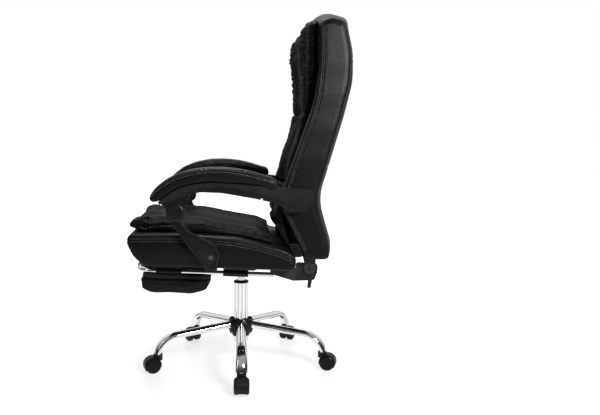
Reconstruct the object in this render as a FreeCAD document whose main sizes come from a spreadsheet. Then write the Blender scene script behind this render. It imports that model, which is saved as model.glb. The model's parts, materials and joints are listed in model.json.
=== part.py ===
import FreeCAD, Part
import math
import os
import Sketcher
from types import SimpleNamespace
from FreeCAD import Placement, Rotation, Vector

# Reclining office chair with a slide-out footrest.
# Millimetres. The sitter faces -X, +Z is up, and the origin is on the floor under the gas column.
# "left" is the sitter's left, at -Y. Left pieces are modelled, and right ones mirror them.

doc = FreeCAD.newDocument("reclining_chair")
sheet = doc.addObject("Spreadsheet::Sheet", "Sizes")

SIZES = {
    # running fits and gaps
    "running_fit": 0.05,
    "press_gap": 0.02,
    "slide_fit": 0.08,
    "seat_gap": 0.3,
    # five-legged base
    "leg_count": 5,
    "first_leg_angle": -90,
    "caster_reach": 289,
    "leg_overhang": 2.5,
    "leg_end_height": 62,
    "leg_bend_radius": 75,
    "leg_slope": 5.4,
    "leg_end_slope": 75,
    "leg_root_width": 28,
    "leg_root_depth": 26,
    "leg_end_width": 38,
    "leg_end_depth": 21,
    "socket_radius": 8.2,
    "socket_bottom": 60.6,
    "socket_top": 80,
    "hub_radius": 31,
    "hub_bottom": 94,
    "hub_top": 147,
    "cover_radius": 45,
    "cover_foot_radius": 36,
    "cover_wall": 3,
    "cover_bottom": 98,
    "cover_top": 158,
    "cover_dip": 7,
    "cover_dip_radius": 24,
    # gas column
    "column_radius": 25,
    "column_wall": 2,
    "column_bottom": 76,
    "column_top": 281,
    "column_floor": 3,
    "collar_radius": 26,
    "collar_height": 7,
    "bushing_length": 80,
    "bearing_radius": 12,
    "bearing_height": 4,
    "rod_radius": 5,
    "rod_below": 5,
    "rod_shoulder_radius": 9,
    "rod_shoulder_height": 4,
    "rod_top": 225,
    "piston_height": 11,
    "clip_radius": 8.5,
    "clip_height": 2,
    "cylinder_radius": 14,
    "cylinder_wall": 1.2,
    "cylinder_bottom": 95,
    "cylinder_sunk": 21,
    "cylinder_taper": 1,
    "gland_height": 15,
    "valve_block": 24,
    "button_radius": 4,
    "button_depth": 14,
    "button_above": 5,
    "button_travel": 4,
    # casters
    "wheel_radius": 25,
    "wheel_width": 14,
    "wheel_gap": 0.6,
    "wheel_rim": 4,
    "caster_trail": 19,
    "caster_body_width": 20,
    "hood_half_width": 19,
    "hood_shoulder": 15,
    "hood_edge_drop": 1.7,
    "hood_wall": 2.5,
    "hood_clearance": 1,
    "hood_skirt_inner": 23,
    "hood_skirt_outer": 9,
    "hood_boss_radius": 15,
    "hood_boss_bottom": 40,
    "hood_top": 59.6,
    "axle_radius": 4,
    "axle_seat_radius": 13,
    "stem_radius": 5.5,
    "stem_bottom": 34,
    "stem_top": 78,
    # seat pan and the mechanism below it
    "pan_height": 377,
    "drawn_pan_height": 377,
    "seat_pitch": 2.2,
    "board_front": 296,
    "board_rear": 150,
    "board_half_width": 244,
    "board_thickness": 12,
    "board_corner": 50,
    "plate_thickness": 3,
    "plate_half_length": 95,
    "plate_half_width": 80,
    "channel_half_width": 36,
    "channel_depth": 48,
    "socket_wall": 6,
    "bolt_radius": 4,
    "bolt_head_radius": 6.5,
    "bolt_head_height": 5,
    "bolt_row_x": 80,
    "bolt_row_y": 62,
    "lever_radius": 4,
    "lever_pivot_y": 50,
    "lever_drop": 50,
    "lever_reach": 236,
    "lever_pin_radius": 3,
    "lever_ear": 4,
    "paddle_length": 62,
    "paddle_width": 34,
    "paddle_thickness": 10,
    # seat cushions
    "seat_half_width": 260,
    "seat_edge_round": 10,
    "pillow_half_width": 214,
    # footrest
    "rail_radius": 8,
    "rail_drop": 32,
    "rail_spacing": 165,
    "rail_front": 326,
    "rail_rear": 105,
    "rail_bend": 55,
    "guide_radius": 10.5,
    "guide_length": 80,
    "guide_front_x": -229,
    "guide_rear_x": -18,
    "guide_web": 7,
    "guide_flange_half_width": 24,
    "guide_flange": 4,
    "clip_barrel_radius": 11.5,
    "clip_width": 24,
    "clip_spacing": 70,
    "clip_foot": 32,
    "rest_board_top": -44,
    "rest_board_thickness": 8,
    "rest_half_width": 186,
    "rest_front": 316,
    "rest_rear": 92,
    "rest_pad_depth": 49,
    # recline hinge
    "recline_x": 215,
    "recline_z": 369,
    "hinge_plane": 198,
    "hinge_plate": 4,
    "hinge_gap": 0.5,
    "hinge_bar": 5,
    "hinge_pin_radius": 6,
    "hinge_eye_radius": 18,
    "hinge_bar_top": 485,
    "release_x": 219,
    "release_z": 350,
    "release_length": 46,
    "release_width": 13,
    "release_thickness": 5,
    "release_pin_radius": 3,
    # backrest
    "back_half_width": 250,
    "back_edge_round": 12,
    "back_board_thickness": 10,
    "back_board_half_width": 202.2,
    "recess_half_width": 222,
    "wing_dish": 22,
    "back_pillow_half_width": 218,
    "crown_rise": 46,
    "crown_band": 102,
    "back_bulge": 22,
    "pillow_gap": 1,
    "pillow_round": 11,
    "seat_pillow_round": 9,
    "seat_dish": 7,
    # armrests
    "strut_bolt_x": -94,
    "strut_bolt_z": 419,
    "arm_pivot_x": -197,
    "arm_pivot_z": 559,
    "arm_rear_x": 155,
    "arm_rear_z": 580,
    "bracket_plane": 262,
    "bracket_plate": 3.5,
    "strut_plane": 267,
    "strut_thickness": 19,
    "strut_eye_radius": 24,
    "strut_rim": 5,
    "strut_recess": 6,
    "strut_bolt_head": 7.5,
    "pivot_radius": 6,
    "pivot_cap_radius": 27,
    "pivot_cap_thickness": 5,
    "lug_thickness": 24,
    "lug_gap": 1,
    "arm_inner": 265,
    "arm_outer": 334,
    "arm_wall": 5,
    "arm_tail_outer": 291,
    "arm_step": 2,
    "open_pivot_radius": 5,
    "open_pivot_clearance": 6,
    "open_pivot_reach": 10,
}

# sizes that follow from others
FOLLOWING = {
    "leg_end_reach": "=caster_reach + leg_overhang",
    "cylinder_top": "=pan_height - cylinder_sunk",
}

for row, (alias, value) in enumerate({**SIZES, **FOLLOWING}.items(), 1):
    sheet.set(f"A{row}", alias)
    sheet.set(f"B{row}", str(value))
    sheet.setAlias(f"B{row}", alias)
doc.recompute()
size = SimpleNamespace(**{alias: float(sheet.get(alias)) for alias in {**SIZES, **FOLLOWING}})

AXIS_X = Vector(1, 0, 0)
AXIS_Y = Vector(0, 1, 0)
AXIS_Z = Vector(0, 0, 1)
SEAT_PLACE = Placement(Vector(0, 0, size.pan_height), Rotation(AXIS_Y, size.seat_pitch))
# The backrest and the armrests are drawn over a seat at the drawn height, and rise with the seat.
LIFT = size.pan_height - size.drawn_pan_height
UPPER_PLACE = Placement(Vector(0, 0, LIFT), Rotation())
sub_parts = []


# Outlines: each corner is (across, up, rounding radius)

def inset(corners, distance):
    """The same outline drawn in by a distance, corner for corner."""
    count = len(corners)
    area = sum(
        corners[i][0] * corners[(i + 1) % count][1] - corners[(i + 1) % count][0] * corners[i][1]
        for i in range(count)
    )
    side = 1 if area > 0 else -1
    drawn = []
    for i, (across, up, radius) in enumerate(corners):
        before, after = corners[i - 1], corners[(i + 1) % count]
        first = Vector(across - before[0], up - before[1], 0).normalize()
        second = Vector(after[0] - across, after[1] - up, 0).normalize()
        normal = Vector(-first.y - second.y, first.x + second.x, 0) * side
        step = distance / (1 + first.dot(second))
        convex = first.cross(second).z * side > 0
        left_over = max(radius - distance, 0.5) if convex else radius + distance
        drawn.append((across + normal.x * step, up + normal.y * step, left_over if radius else 0))
    return drawn


def rounded_edges(corners, place):
    """Straight edges joined by tangent arcs, each arc limited by the edges beside it."""
    stops = []
    count = len(corners)
    for i, (across, up, radius) in enumerate(corners):
        corner = Vector(across, up, 0)
        to_last = Vector(corners[i - 1][0], corners[i - 1][1], 0) - corner
        to_next = Vector(corners[(i + 1) % count][0], corners[(i + 1) % count][1], 0) - corner
        room = 0.49 * min(to_last.Length, to_next.Length)
        to_last.normalize()
        to_next.normalize()
        half = to_last.getAngle(to_next) / 2
        if not radius or half > 1.568:
            stops.append((corner, None, corner))
            continue
        reach = min(radius / math.tan(half), room)
        inward = (to_last + to_next).normalize()
        fitted = reach * math.tan(half)
        middle = corner + inward * (fitted / math.sin(half) - fitted)
        stops.append((corner + to_last * reach, middle, corner + to_next * reach))
    edges = []
    for i, (start, middle, end) in enumerate(stops):
        if middle is not None:
            edges.append(Part.Arc(*[place(p.x, p.y) for p in (start, middle, end)]))
        following = stops[(i + 1) % count][0]
        edges.append(Part.LineSegment(place(end.x, end.y), place(following.x, following.y)))
    return edges


def rounded_wire(corners, place):
    return Part.Wire([edge.toShape() for edge in rounded_edges(corners, place)])


def side_slab(corners, start, end):
    """A side outline in X and Z, carried across Y from start to end."""
    wire = rounded_wire(corners, lambda x, z: Vector(x, start, z))
    return Part.Face(wire).extrude(Vector(0, end - start, 0))


def plan_slab(corners, bottom, top):
    """A plan outline in X and Y, carried up Z from bottom to top."""
    wire = rounded_wire(corners, lambda x, y: Vector(x, y, bottom))
    return Part.Face(wire).extrude(Vector(0, 0, top - bottom))


def padded_block(outline, stations):
    """A padded solid with one side outline, drawn in by its own amount at each station across Y."""
    wires = []
    for across, draw in stations:
        wires.append(rounded_wire(inset(outline, draw), lambda x, z: Vector(x, across, z)))
    return Part.makeLoft(wires, True, True)


def cushion_stations(half_width, rounding, inner=()):
    """Stations that round both edges of a padded block over a quarter turn, with any inner shares."""
    steps = [(1 - math.sin(a), 1 - math.cos(a)) for a in (math.radians(t) for t in (90, 55, 25, 0))]
    near = [(-half_width + rounding * across, rounding * draw) for across, draw in steps]
    middle = [(share * half_width, 0) for share in inner]
    return near + middle + [(-across, draw) for across, draw in reversed(near)]


def block(x, y, z):
    """A box from its three ranges."""
    corner = Vector(x[0], y[0], z[0])
    return Part.makeBox(x[1] - x[0], y[1] - y[0], z[1] - z[0], corner)


def rod_between(start, end, radius):
    start, end = Vector(*start), Vector(*end)
    return Part.makeCylinder(radius, (end - start).Length, start, end - start)


def curve_at(table, height):
    """Straight interpolation in a table of (height, value), highest first."""
    for (high, at_high), (low, at_low) in zip(table, table[1:]):
        if height >= low:
            share = (height - low) / (high - low)
            return at_low + (at_high - at_low) * share
    return table[-1][1]


def in_seat(x, z):
    """A point of the upper drawing, in the seat's pitched frame."""
    return SEAT_PLACE.inverse().multVec(Vector(x, 0, z + LIFT))


# Document objects

def add_feature(label, shape, placement=Placement()):
    part = doc.addObject("Part::Feature", label)
    part.Shape = shape.removeSplitter() if len(shape.Solids) == 1 else shape
    part.Placement = placement
    sub_parts.append(part)
    return part


def add_mirror(label, source):
    part = doc.addObject("Part::Mirroring", label)
    part.Source = source
    part.Normal = AXIS_Y
    sub_parts.append(part)
    return part


def add_body(label, placement=Placement()):
    body = doc.addObject("PartDesign::Body", label)
    body.Placement = placement
    sub_parts.append(body)
    return body


def add_sketch(body, name, plane):
    sketch = body.newObject("Sketcher::SketchObject", name)
    support = next(f for f in body.Origin.OriginFeatures if f.Role == plane)
    sketch.AttachmentSupport = [(support, "")]
    sketch.MapMode = "FlatFace"
    return sketch


def turned(label, outline, placement=Placement()):
    """A turned piece: its half outline is (radius, height) pairs of expressions on the sheet."""
    body = add_body(label, placement)
    sketch = add_sketch(body, label + "_outline", "XZ_Plane")
    points = []
    for pair in outline:
        radius, height = (float(sheet.evalExpression(text)) for text in pair)
        points.append(Vector(radius, height, 0))
    count = len(points)
    sketch.addGeometry([Part.LineSegment(points[i], points[(i + 1) % count]) for i in range(count)])
    for i in range(count):
        sketch.addConstraint(Sketcher.Constraint("Coincident", i, 2, (i + 1) % count, 1))
    for i, (point, texts) in enumerate(zip(points, outline)):
        directions = (("DistanceX", point.x, texts[0], -2), ("DistanceY", point.y, texts[1], -1))
        for kind, measure, text, axis in directions:
            if abs(measure) < 1e-9:
                sketch.addConstraint(Sketcher.Constraint("PointOnObject", i, 1, axis))
                continue
            index = sketch.addConstraint(Sketcher.Constraint(kind, -1, 1, i, 1, measure))
            sketch.setExpression(f"Constraints[{index}]", text)
    turn = body.newObject("PartDesign::Revolution", label + "_turn")
    turn.Profile = sketch
    turn.ReferenceAxis = (sketch, ["V_Axis"])
    turn.Angle = 360
    body.Tip = turn
    return body


def side_sketch(body, name, corners, plane_text, holes=()):
    """A side outline with round holes, on a plane that lies left of the middle by an expression."""
    sketch = add_sketch(body, name, "XZ_Plane")
    sketch.setExpression(".AttachmentOffset.Base.z", plane_text)
    sketch.addGeometry(rounded_edges(corners, lambda x, z: Vector(x, z, 0)))
    for x, z, radius in holes:
        sketch.addGeometry(Part.Circle(Vector(x, z, 0), Vector(0, 0, 1), radius))
    return sketch


def add_pad(body, sketch, name, length_text):
    pad = body.newObject("PartDesign::Pad", name)
    pad.Profile = sketch
    pad.setExpression("Length", length_text)
    body.Tip = pad
    return pad


# Five-legged base

def leg_path():
    """Centre line of a leg, as (reach, height, slope): its root, the bend's start and middle, its end."""
    radius = size.leg_bend_radius
    slopes = [size.leg_slope, (size.leg_slope + size.leg_end_slope) / 2, size.leg_end_slope]
    sines = [math.sin(math.radians(slope)) for slope in slopes]
    cosines = [math.cos(math.radians(slope)) for slope in slopes]
    bend = []
    for slope, sine, cosine in zip(slopes, sines, cosines):
        reach = size.leg_end_reach - radius * (sines[-1] - sine)
        bend.append((reach, size.leg_end_height + radius * (cosine - cosines[-1]), slope))
    rise = (bend[0][0] - size.column_radius) * math.tan(math.radians(size.leg_slope))
    return [(size.column_radius, bend[0][1] + rise, size.leg_slope)] + bend


def leg_shape(spread=0.0):
    """One chromed leg along +X, swollen all round by spread."""
    path = leg_path()
    root, start, middle, end = [Vector(reach, 0, height) for reach, height, slope in path]
    spine = Part.Wire([Part.LineSegment(root, start).toShape(), Part.Arc(start, middle, end).toShape()])
    sweep = Part.BRepOffsetAPI.MakePipeShell(spine)
    ends = (
        (root, path[0][2], size.leg_root_width, size.leg_root_depth),
        (end, path[-1][2], size.leg_end_width, size.leg_end_depth),
    )
    for at, slope, width, depth in ends:
        oval = Part.Ellipse(Vector(0, 0, 0), width / 2 + spread, depth / 2 + spread).toShape()
        # The oval's long axis lies across the leg, and it faces along the path.
        oval.Placement = Placement(at, Rotation(AXIS_Y, 90 + slope).multiply(Rotation(AXIS_Z, 90)))
        sweep.add(Part.Wire([oval]))
    sweep.build()
    sweep.makeSolid()
    return sweep.shape()


def leg_angles():
    step = 360 / size.leg_count
    return [size.first_leg_angle + step * index for index in range(int(size.leg_count))]


def around_hub(shape):
    copies = []
    for angle in leg_angles():
        copy = shape.copy()
        copy.rotate(Vector(0, 0, 0), AXIS_Z, angle)
        copies.append(copy)
    return copies


def make_star_base():
    socket_reach = size.caster_reach
    socket = Part.makeCylinder(
        size.socket_radius, (size.socket_top - size.socket_bottom) * 0.7,
        Vector(socket_reach, 0, size.socket_bottom))
    leg = leg_shape().fuse(socket)
    span = 1.6 * size.leg_end_width
    below = block((socket_reach - span, socket_reach + span), (-span, span), (0, size.socket_bottom))
    bore = Part.makeCylinder(
        size.stem_radius + size.running_fit, size.socket_top, Vector(socket_reach, 0, 0))
    leg = leg.cut(below).cut(bore)
    hub = Part.makeCylinder(
        size.hub_radius, size.hub_top - size.hub_bottom, Vector(0, 0, size.hub_bottom))
    hub = hub.fuse(around_hub(leg))
    column = Part.makeCylinder(size.column_radius + size.press_gap, 2 * size.hub_top)
    add_feature("star_base", hub.cut(column))


def make_hub_cover():
    wall, foot, radius = size.cover_wall, size.cover_foot_radius, size.cover_radius
    top, bottom = size.cover_top, size.cover_bottom
    mouth = size.column_radius + size.seat_gap
    seat = size.hub_top + size.seat_gap
    outline = [
        (foot, bottom, 1), (radius, bottom + 24, 20), (radius, top - 17, 14), (foot + 1, top, 8),
        (mouth, top - 2, 1), (mouth, seat, 0), (foot - wall, seat, 3), (radius - wall, top - 20, 8),
        (radius - wall, bottom + 24, 18), (foot - wall, bottom, 0),
    ]
    wire = rounded_wire(outline, lambda x, z: Vector(x, 0, z))
    shell = Part.Face(wire).revolve(Vector(0, 0, 0), AXIS_Z, 360)
    tunnel = leg_shape(wall / 2)
    half = size.leg_root_width / 2 + wall / 2
    under_leg = block((size.column_radius, radius + 20), (-half, half), (0, leg_path()[0][1]))
    dip_height = top - size.cover_dip + size.cover_dip_radius
    dip = rod_between((0, 0, dip_height), (radius + 20, 0, dip_height), size.cover_dip_radius)
    for cutter in around_hub(tunnel.fuse(under_leg)) + around_hub(dip):
        shell = shell.cut(cutter)
    add_feature("hub_cover", shell)


# Gas column

def make_column():
    turned("column_tube", [
        ("Sizes.rod_radius + Sizes.slide_fit * 3", "Sizes.column_bottom"),
        ("Sizes.column_radius", "Sizes.column_bottom"),
        ("Sizes.column_radius", "Sizes.column_top"),
        ("Sizes.column_radius - Sizes.column_wall", "Sizes.column_top"),
        ("Sizes.column_radius - Sizes.column_wall", "Sizes.column_bottom + Sizes.column_floor"),
        ("Sizes.rod_radius + Sizes.slide_fit * 3", "Sizes.column_bottom + Sizes.column_floor"),
    ])
    bore = "Sizes.cylinder_radius + Sizes.running_fit"
    turned("column_bushing", [
        (bore, "Sizes.column_top - Sizes.bushing_length"),
        ("Sizes.column_radius - Sizes.column_wall - Sizes.press_gap",
         "Sizes.column_top - Sizes.bushing_length"),
        ("Sizes.column_radius - Sizes.column_wall - Sizes.press_gap", "Sizes.column_top"),
        ("Sizes.collar_radius", "Sizes.column_top"),
        ("Sizes.collar_radius", "Sizes.column_top + Sizes.collar_height * 0.6"),
        ("Sizes.collar_radius - Sizes.collar_height * 0.6", "Sizes.column_top + Sizes.collar_height"),
        (bore, "Sizes.column_top + Sizes.collar_height"),
    ])
    bearing_bottom = "Sizes.column_bottom + Sizes.column_floor"
    turned("thrust_bearing", [
        ("Sizes.rod_radius + Sizes.slide_fit", bearing_bottom),
        ("Sizes.bearing_radius", bearing_bottom),
        ("Sizes.bearing_radius", bearing_bottom + " + Sizes.bearing_height"),
        ("Sizes.rod_radius + Sizes.slide_fit", bearing_bottom + " + Sizes.bearing_height"),
    ])


def make_gas_rod():
    shoulder = "Sizes.column_bottom + Sizes.column_floor + Sizes.bearing_height + Sizes.slide_fit"
    piston = "Sizes.cylinder_radius - Sizes.cylinder_wall - Sizes.slide_fit"
    turned("gas_rod", [
        ("0", "Sizes.column_bottom - Sizes.rod_below"),
        ("Sizes.rod_radius", "Sizes.column_bottom - Sizes.rod_below"),
        ("Sizes.rod_radius", shoulder),
        ("Sizes.rod_shoulder_radius", shoulder),
        ("Sizes.rod_shoulder_radius", shoulder + " + Sizes.rod_shoulder_height"),
        ("Sizes.rod_radius", shoulder + " + Sizes.rod_shoulder_height"),
        ("Sizes.rod_radius", "Sizes.rod_top - Sizes.piston_height"),
        (piston, "Sizes.rod_top - Sizes.piston_height"),
        (piston, "Sizes.rod_top"),
        ("0", "Sizes.rod_top"),
    ])
    top = "Sizes.column_bottom - Sizes.slide_fit"
    turned("retaining_clip", [
        ("Sizes.rod_radius + Sizes.press_gap", top + " - Sizes.clip_height"),
        ("Sizes.clip_radius", top + " - Sizes.clip_height"),
        ("Sizes.clip_radius", top),
        ("Sizes.rod_radius + Sizes.press_gap", top),
    ])


def make_gas_cylinder():
    inner = "Sizes.cylinder_radius - Sizes.cylinder_wall"
    gland = "Sizes.rod_radius + Sizes.running_fit"
    valve = "Sizes.button_radius + Sizes.running_fit"
    turned("gas_cylinder", [
        (gland, "Sizes.cylinder_bottom"),
        ("Sizes.cylinder_radius", "Sizes.cylinder_bottom"),
        ("Sizes.cylinder_radius", "Sizes.pan_height - Sizes.channel_depth"),
        ("Sizes.cylinder_radius - Sizes.cylinder_taper", "Sizes.cylinder_top"),
        (valve, "Sizes.cylinder_top"),
        (valve, "Sizes.cylinder_top - Sizes.button_depth - Sizes.button_travel - 2"),
        ("0", "Sizes.cylinder_top - Sizes.button_depth - Sizes.button_travel - 2"),
        ("0", "Sizes.cylinder_top - Sizes.valve_block"),
        (inner, "Sizes.cylinder_top - Sizes.valve_block"),
        (inner, "Sizes.cylinder_bottom + Sizes.gland_height"),
        (gland, "Sizes.cylinder_bottom + Sizes.gland_height"),
    ])
    turned("valve_button", [
        ("0", "Sizes.cylinder_top - Sizes.button_depth"),
        ("Sizes.button_radius", "Sizes.cylinder_top - Sizes.button_depth"),
        ("Sizes.button_radius", "Sizes.cylinder_top + Sizes.button_above - 1"),
        ("Sizes.button_radius - 1", "Sizes.cylinder_top + Sizes.button_above"),
        ("0", "Sizes.cylinder_top + Sizes.button_above"),
    ])


# Twin-wheel casters, trailing outwards

def make_hood_shape():
    """Hood over both wheels, with the web between them, stub axles and the stem boss."""
    trail, axle = size.caster_trail, size.wheel_radius
    chamber = size.wheel_radius + size.hood_clearance
    outer = chamber + size.hood_wall
    half_body, half_hood, shoulder = size.caster_body_width / 2, size.hood_half_width, size.hood_shoulder

    def across(radius, start, end):
        return rod_between((trail, start, axle), (trail, end, axle), radius)

    edge = outer - size.hood_edge_drop
    barrel = Part.makePolygon([Vector(trail, y, axle + radius) for y, radius in (
        (-half_hood, 0), (-half_hood, edge), (-shoulder, outer), (shoulder, outer), (half_hood, edge),
        (half_hood, 0), (-half_hood, 0))])
    hood = Part.Face(barrel).revolve(Vector(trail, 0, axle), AXIS_Y, 360)
    inner, low = size.hood_skirt_inner, size.hood_skirt_outer
    above = side_slab([(-60, inner, 0), (trail, inner - 6, 0), (trail + 20, low, 0), (100, low, 0),
                       (100, 100, 0), (-60, 100, 0)], -40, 40)
    boss = Part.makeCylinder(
        size.hood_boss_radius, size.hood_top - size.hood_boss_bottom, Vector(0, 0, size.hood_boss_bottom))
    hood = hood.common(above).fuse(boss)
    for side in (-1, 1):
        hood = hood.cut(across(chamber, side * half_body, side * 2 * half_hood))
    hood = hood.fuse(across(size.axle_seat_radius, -half_body, half_body))
    stub = half_body + size.wheel_gap + size.wheel_width - size.wheel_rim
    hood = hood.fuse(across(size.axle_radius, -stub, stub))
    bore = Part.makeCylinder(
        size.stem_radius + size.press_gap, size.hood_top, Vector(0, 0, size.stem_bottom))
    return hood.cut(bore)


def make_casters():
    hood = make_hood_shape()
    rim = "Sizes.wheel_width - Sizes.wheel_rim + Sizes.wheel_gap"
    bore = "Sizes.axle_radius + Sizes.running_fit"
    wheel_outline = [
        ("0", rim), (bore, rim), (bore, "0"), ("Sizes.axle_radius * 2", "0"),
        ("Sizes.axle_radius * 2", "Sizes.wheel_rim * 0.7"),
        ("Sizes.wheel_radius - Sizes.wheel_rim", "Sizes.wheel_rim * 0.7"),
        ("Sizes.wheel_radius - Sizes.wheel_rim", "0"), ("Sizes.wheel_radius", "0"),
        ("Sizes.wheel_radius", "Sizes.wheel_width - Sizes.wheel_rim"),
        ("Sizes.wheel_radius - Sizes.wheel_rim", "Sizes.wheel_width - Sizes.wheel_rim * 0.2"),
        ("0", "Sizes.wheel_width"),
    ]
    inner_face = size.caster_body_width / 2 + size.wheel_gap
    for number, angle in enumerate(leg_angles(), 1):
        turn = Rotation(AXIS_Z, angle)
        place = Placement(turn.multVec(Vector(size.caster_reach, 0, 0)), turn)
        add_feature(f"caster_{number}_hood", hood, place)
        turned(f"caster_{number}_stem", [
            ("0", "Sizes.stem_bottom"), ("Sizes.stem_radius", "Sizes.stem_bottom"),
            ("Sizes.stem_radius", "Sizes.stem_top - 2"), ("Sizes.stem_radius - 1", "Sizes.stem_top"),
            ("0", "Sizes.stem_top"),
        ], place)
        for name, side in (("left", -1), ("right", 1)):
            at = Vector(size.caster_trail, side * inner_face, size.wheel_radius)
            local = Placement(at, Rotation(AXIS_X, -90 * side))
            turned(f"caster_{number}_wheel_{name}", wheel_outline, place.multiply(local))


# Seat pan, mechanism and levers, in the seat's own pitched frame

def make_seat_board():
    corner = size.board_corner
    front, rear, half = -size.board_front, size.board_rear, size.board_half_width
    plan = [(front, -half, corner), (rear, -half, corner), (rear, half, corner), (front, half, corner)]
    body = add_body("seat_board", SEAT_PLACE)
    body.setExpression(".Placement.Base.z", "Sizes.pan_height")
    sketch = add_sketch(body, "seat_board_plan", "XY_Plane")
    sketch.addGeometry(rounded_edges(plan, lambda x, y: Vector(x, y, 0)))
    add_pad(body, sketch, "seat_board_pad", "Sizes.board_thickness")
    return plan


def make_mechanism():
    wall, depth, half = size.plate_thickness, size.channel_depth, size.channel_half_width
    length = size.plate_half_length
    plate = plan_slab([
        (-length, -size.plate_half_width, 12), (length, -size.plate_half_width, 12),
        (length, size.plate_half_width, 12), (-length, size.plate_half_width, 12)], -wall, 0)
    side = [(-length + 12, 0, 0), (-length + 18, -0.45 * depth, 12), (-length / 2, -depth, 15),
            (length / 2, -depth, 15), (length - 10, -0.45 * depth, 12), (length - 8, 0, 0)]
    channel = side_slab(side, -half, half)
    hollow = side_slab(inset(side, wall), -half + wall, half - wall)
    window = side_slab(inset(side, wall), -half + wall, half - wall)
    window.translate(Vector(0, 0, 2 * wall))
    shape = plate.fuse(channel).cut(hollow).cut(window)
    upright = SEAT_PLACE.inverse()

    def vertical(radius, bottom, top, top_radius=None):
        if top_radius is None:
            rod = Part.makeCylinder(radius, top - bottom, Vector(0, 0, bottom))
        else:
            rod = Part.makeCone(radius, top_radius, top - bottom, Vector(0, 0, bottom))
        rod.Placement = upright.multiply(rod.Placement)
        return rod

    taper_bottom = size.pan_height - depth
    outside = size.cylinder_radius + size.socket_wall
    shape = shape.fuse(vertical(outside, taper_bottom - 1, size.cylinder_top - 4))
    gap = size.press_gap
    shape = shape.cut(vertical(
        size.cylinder_radius + gap, taper_bottom, size.cylinder_top,
        size.cylinder_radius - size.cylinder_taper + gap))
    shape = shape.cut(vertical(size.cylinder_radius + gap, taper_bottom - 20, taper_bottom))
    # Slot for the height lever and two ears for its pivot pin.
    lever_height = lever_pivot_height() - size.pan_height
    slot = size.lever_radius + 2
    shape = shape.cut(block((-slot, slot), (half - 2 * wall, half + 1), (lever_height - slot, -wall)))
    pivot = size.lever_pivot_y
    ear_in = size.lever_radius + 1
    ear_out = ear_in + size.lever_ear
    for start in (-ear_out, ear_in):
        ear = block((start, start + size.lever_ear), (half - 1, pivot + 8), (lever_height - 8, -wall))
        shape = shape.fuse(ear)
    pin = rod_between((-ear_out - 1, pivot, lever_height), (ear_out + 1, pivot, lever_height),
                      size.lever_pin_radius + size.running_fit)
    shape = shape.cut(pin)
    for x in (-size.bolt_row_x, size.bolt_row_x):
        for y in (-size.bolt_row_y, size.bolt_row_y):
            hole = rod_between((x, y, -wall - 1), (x, y, 1), size.bolt_radius + size.slide_fit)
            shape = shape.cut(hole)
    add_feature("seat_mechanism", shape, SEAT_PLACE)


def lever_pivot_height():
    """Height of the lever's centre line over the valve button."""
    return size.cylinder_top + size.button_above + size.lever_radius + 0.5


def make_height_lever():
    """Bent rod: over the valve button, through the mechanism's side, down and out to the right."""
    height = lever_pivot_height() - size.pan_height
    radius, pivot = size.lever_radius, size.lever_pivot_y
    low = height - size.lever_drop
    route = [(0, -4, height), (0, pivot + 6, height), (0, pivot + 36, low), (0, size.lever_reach, low)]
    shape = rod_between(route[0], route[1], radius)
    for start, end in zip(route[1:], route[2:]):
        shape = shape.fuse(Part.makeSphere(radius, Vector(*start)))
        shape = shape.fuse(rod_between(start, end, radius))
    ear_out = size.lever_radius + 1 + size.lever_ear
    pin = rod_between((-ear_out, pivot, height), (ear_out, pivot, height), size.lever_pin_radius)
    add_feature("height_lever", shape.fuse(pin), SEAT_PLACE)
    # Flat moulded paddle pushed over the rod's end.
    half, thick = size.paddle_width / 2, size.paddle_thickness
    start = size.lever_reach - size.paddle_length * 0.55
    end = start + size.paddle_length
    plan = [(-radius - 2, start, 2), (radius + 2, start, 2), (half, start + 22, 14), (half, end, 12),
            (-half, end, 12), (-half, start + 22, 14)]
    paddle = plan_slab(plan, low - thick / 2, low + thick / 2)
    bore = rod_between((0, 0, low), (0, size.lever_reach + size.press_gap, low), radius + size.press_gap)
    add_feature("height_paddle", paddle.cut(bore), SEAT_PLACE)


def make_seat_bolts():
    """Four mechanism bolts and the two shoulder bolts that the arm struts turn on."""
    solids = []
    for x in (-size.bolt_row_x, size.bolt_row_x):
        for y in (-size.bolt_row_y, size.bolt_row_y):
            under = -size.plate_thickness
            shank = rod_between((x, y, under), (x, y, 0), size.bolt_radius)
            head = rod_between((x, y, under - size.bolt_head_height), (x, y, under), size.bolt_head_radius)
            solid = head.fuse(shank)
            solid.Placement = SEAT_PLACE
            solids.append(solid)
    inner = size.bracket_plane - 1.5
    outer = size.strut_plane + size.strut_thickness - size.strut_recess + size.seat_gap
    for side in (-1, 1):
        at = (size.strut_bolt_x, size.strut_bolt_z + LIFT)
        shank = rod_between((at[0], side * inner, at[1]), (at[0], side * outer, at[1]), size.pivot_radius)
        head = rod_between((at[0], side * outer, at[1]), (at[0], side * (outer + 4), at[1]),
                           size.strut_bolt_head)
        solids.append(shank.fuse(head))
    add_feature("seat_bolts", Part.makeCompound(solids))


def make_arm_brackets():
    """Steel angles under the seat board that carry the strut bolts outside the seat's sides."""
    solids = []
    local = in_seat(size.strut_bolt_x, size.strut_bolt_z)
    width = 20
    for side in (-1, 1):
        inner, face = side * (size.board_half_width - 50), side * size.bracket_plane
        outer = side * (size.bracket_plane + size.bracket_plate)
        foot = block((local.x - width, local.x + width), sorted((inner, outer)),
                     (-size.bracket_plate, 0))
        tab = side_slab([(local.x - width, -size.bracket_plate, 0), (local.x + width, -size.bracket_plate, 0),
                         (local.x + width, local.z + width, 18), (local.x - width, local.z + width, 18)],
                        *sorted((face, outer)))
        hole = rod_between((local.x, 0, local.z), (local.x, side * 400, local.z),
                           size.pivot_radius + size.press_gap)
        solids.append(foot.fuse(tab).cut(hole))
    add_feature("arm_brackets", Part.makeCompound(solids), SEAT_PLACE)


# Recline hinge

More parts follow.
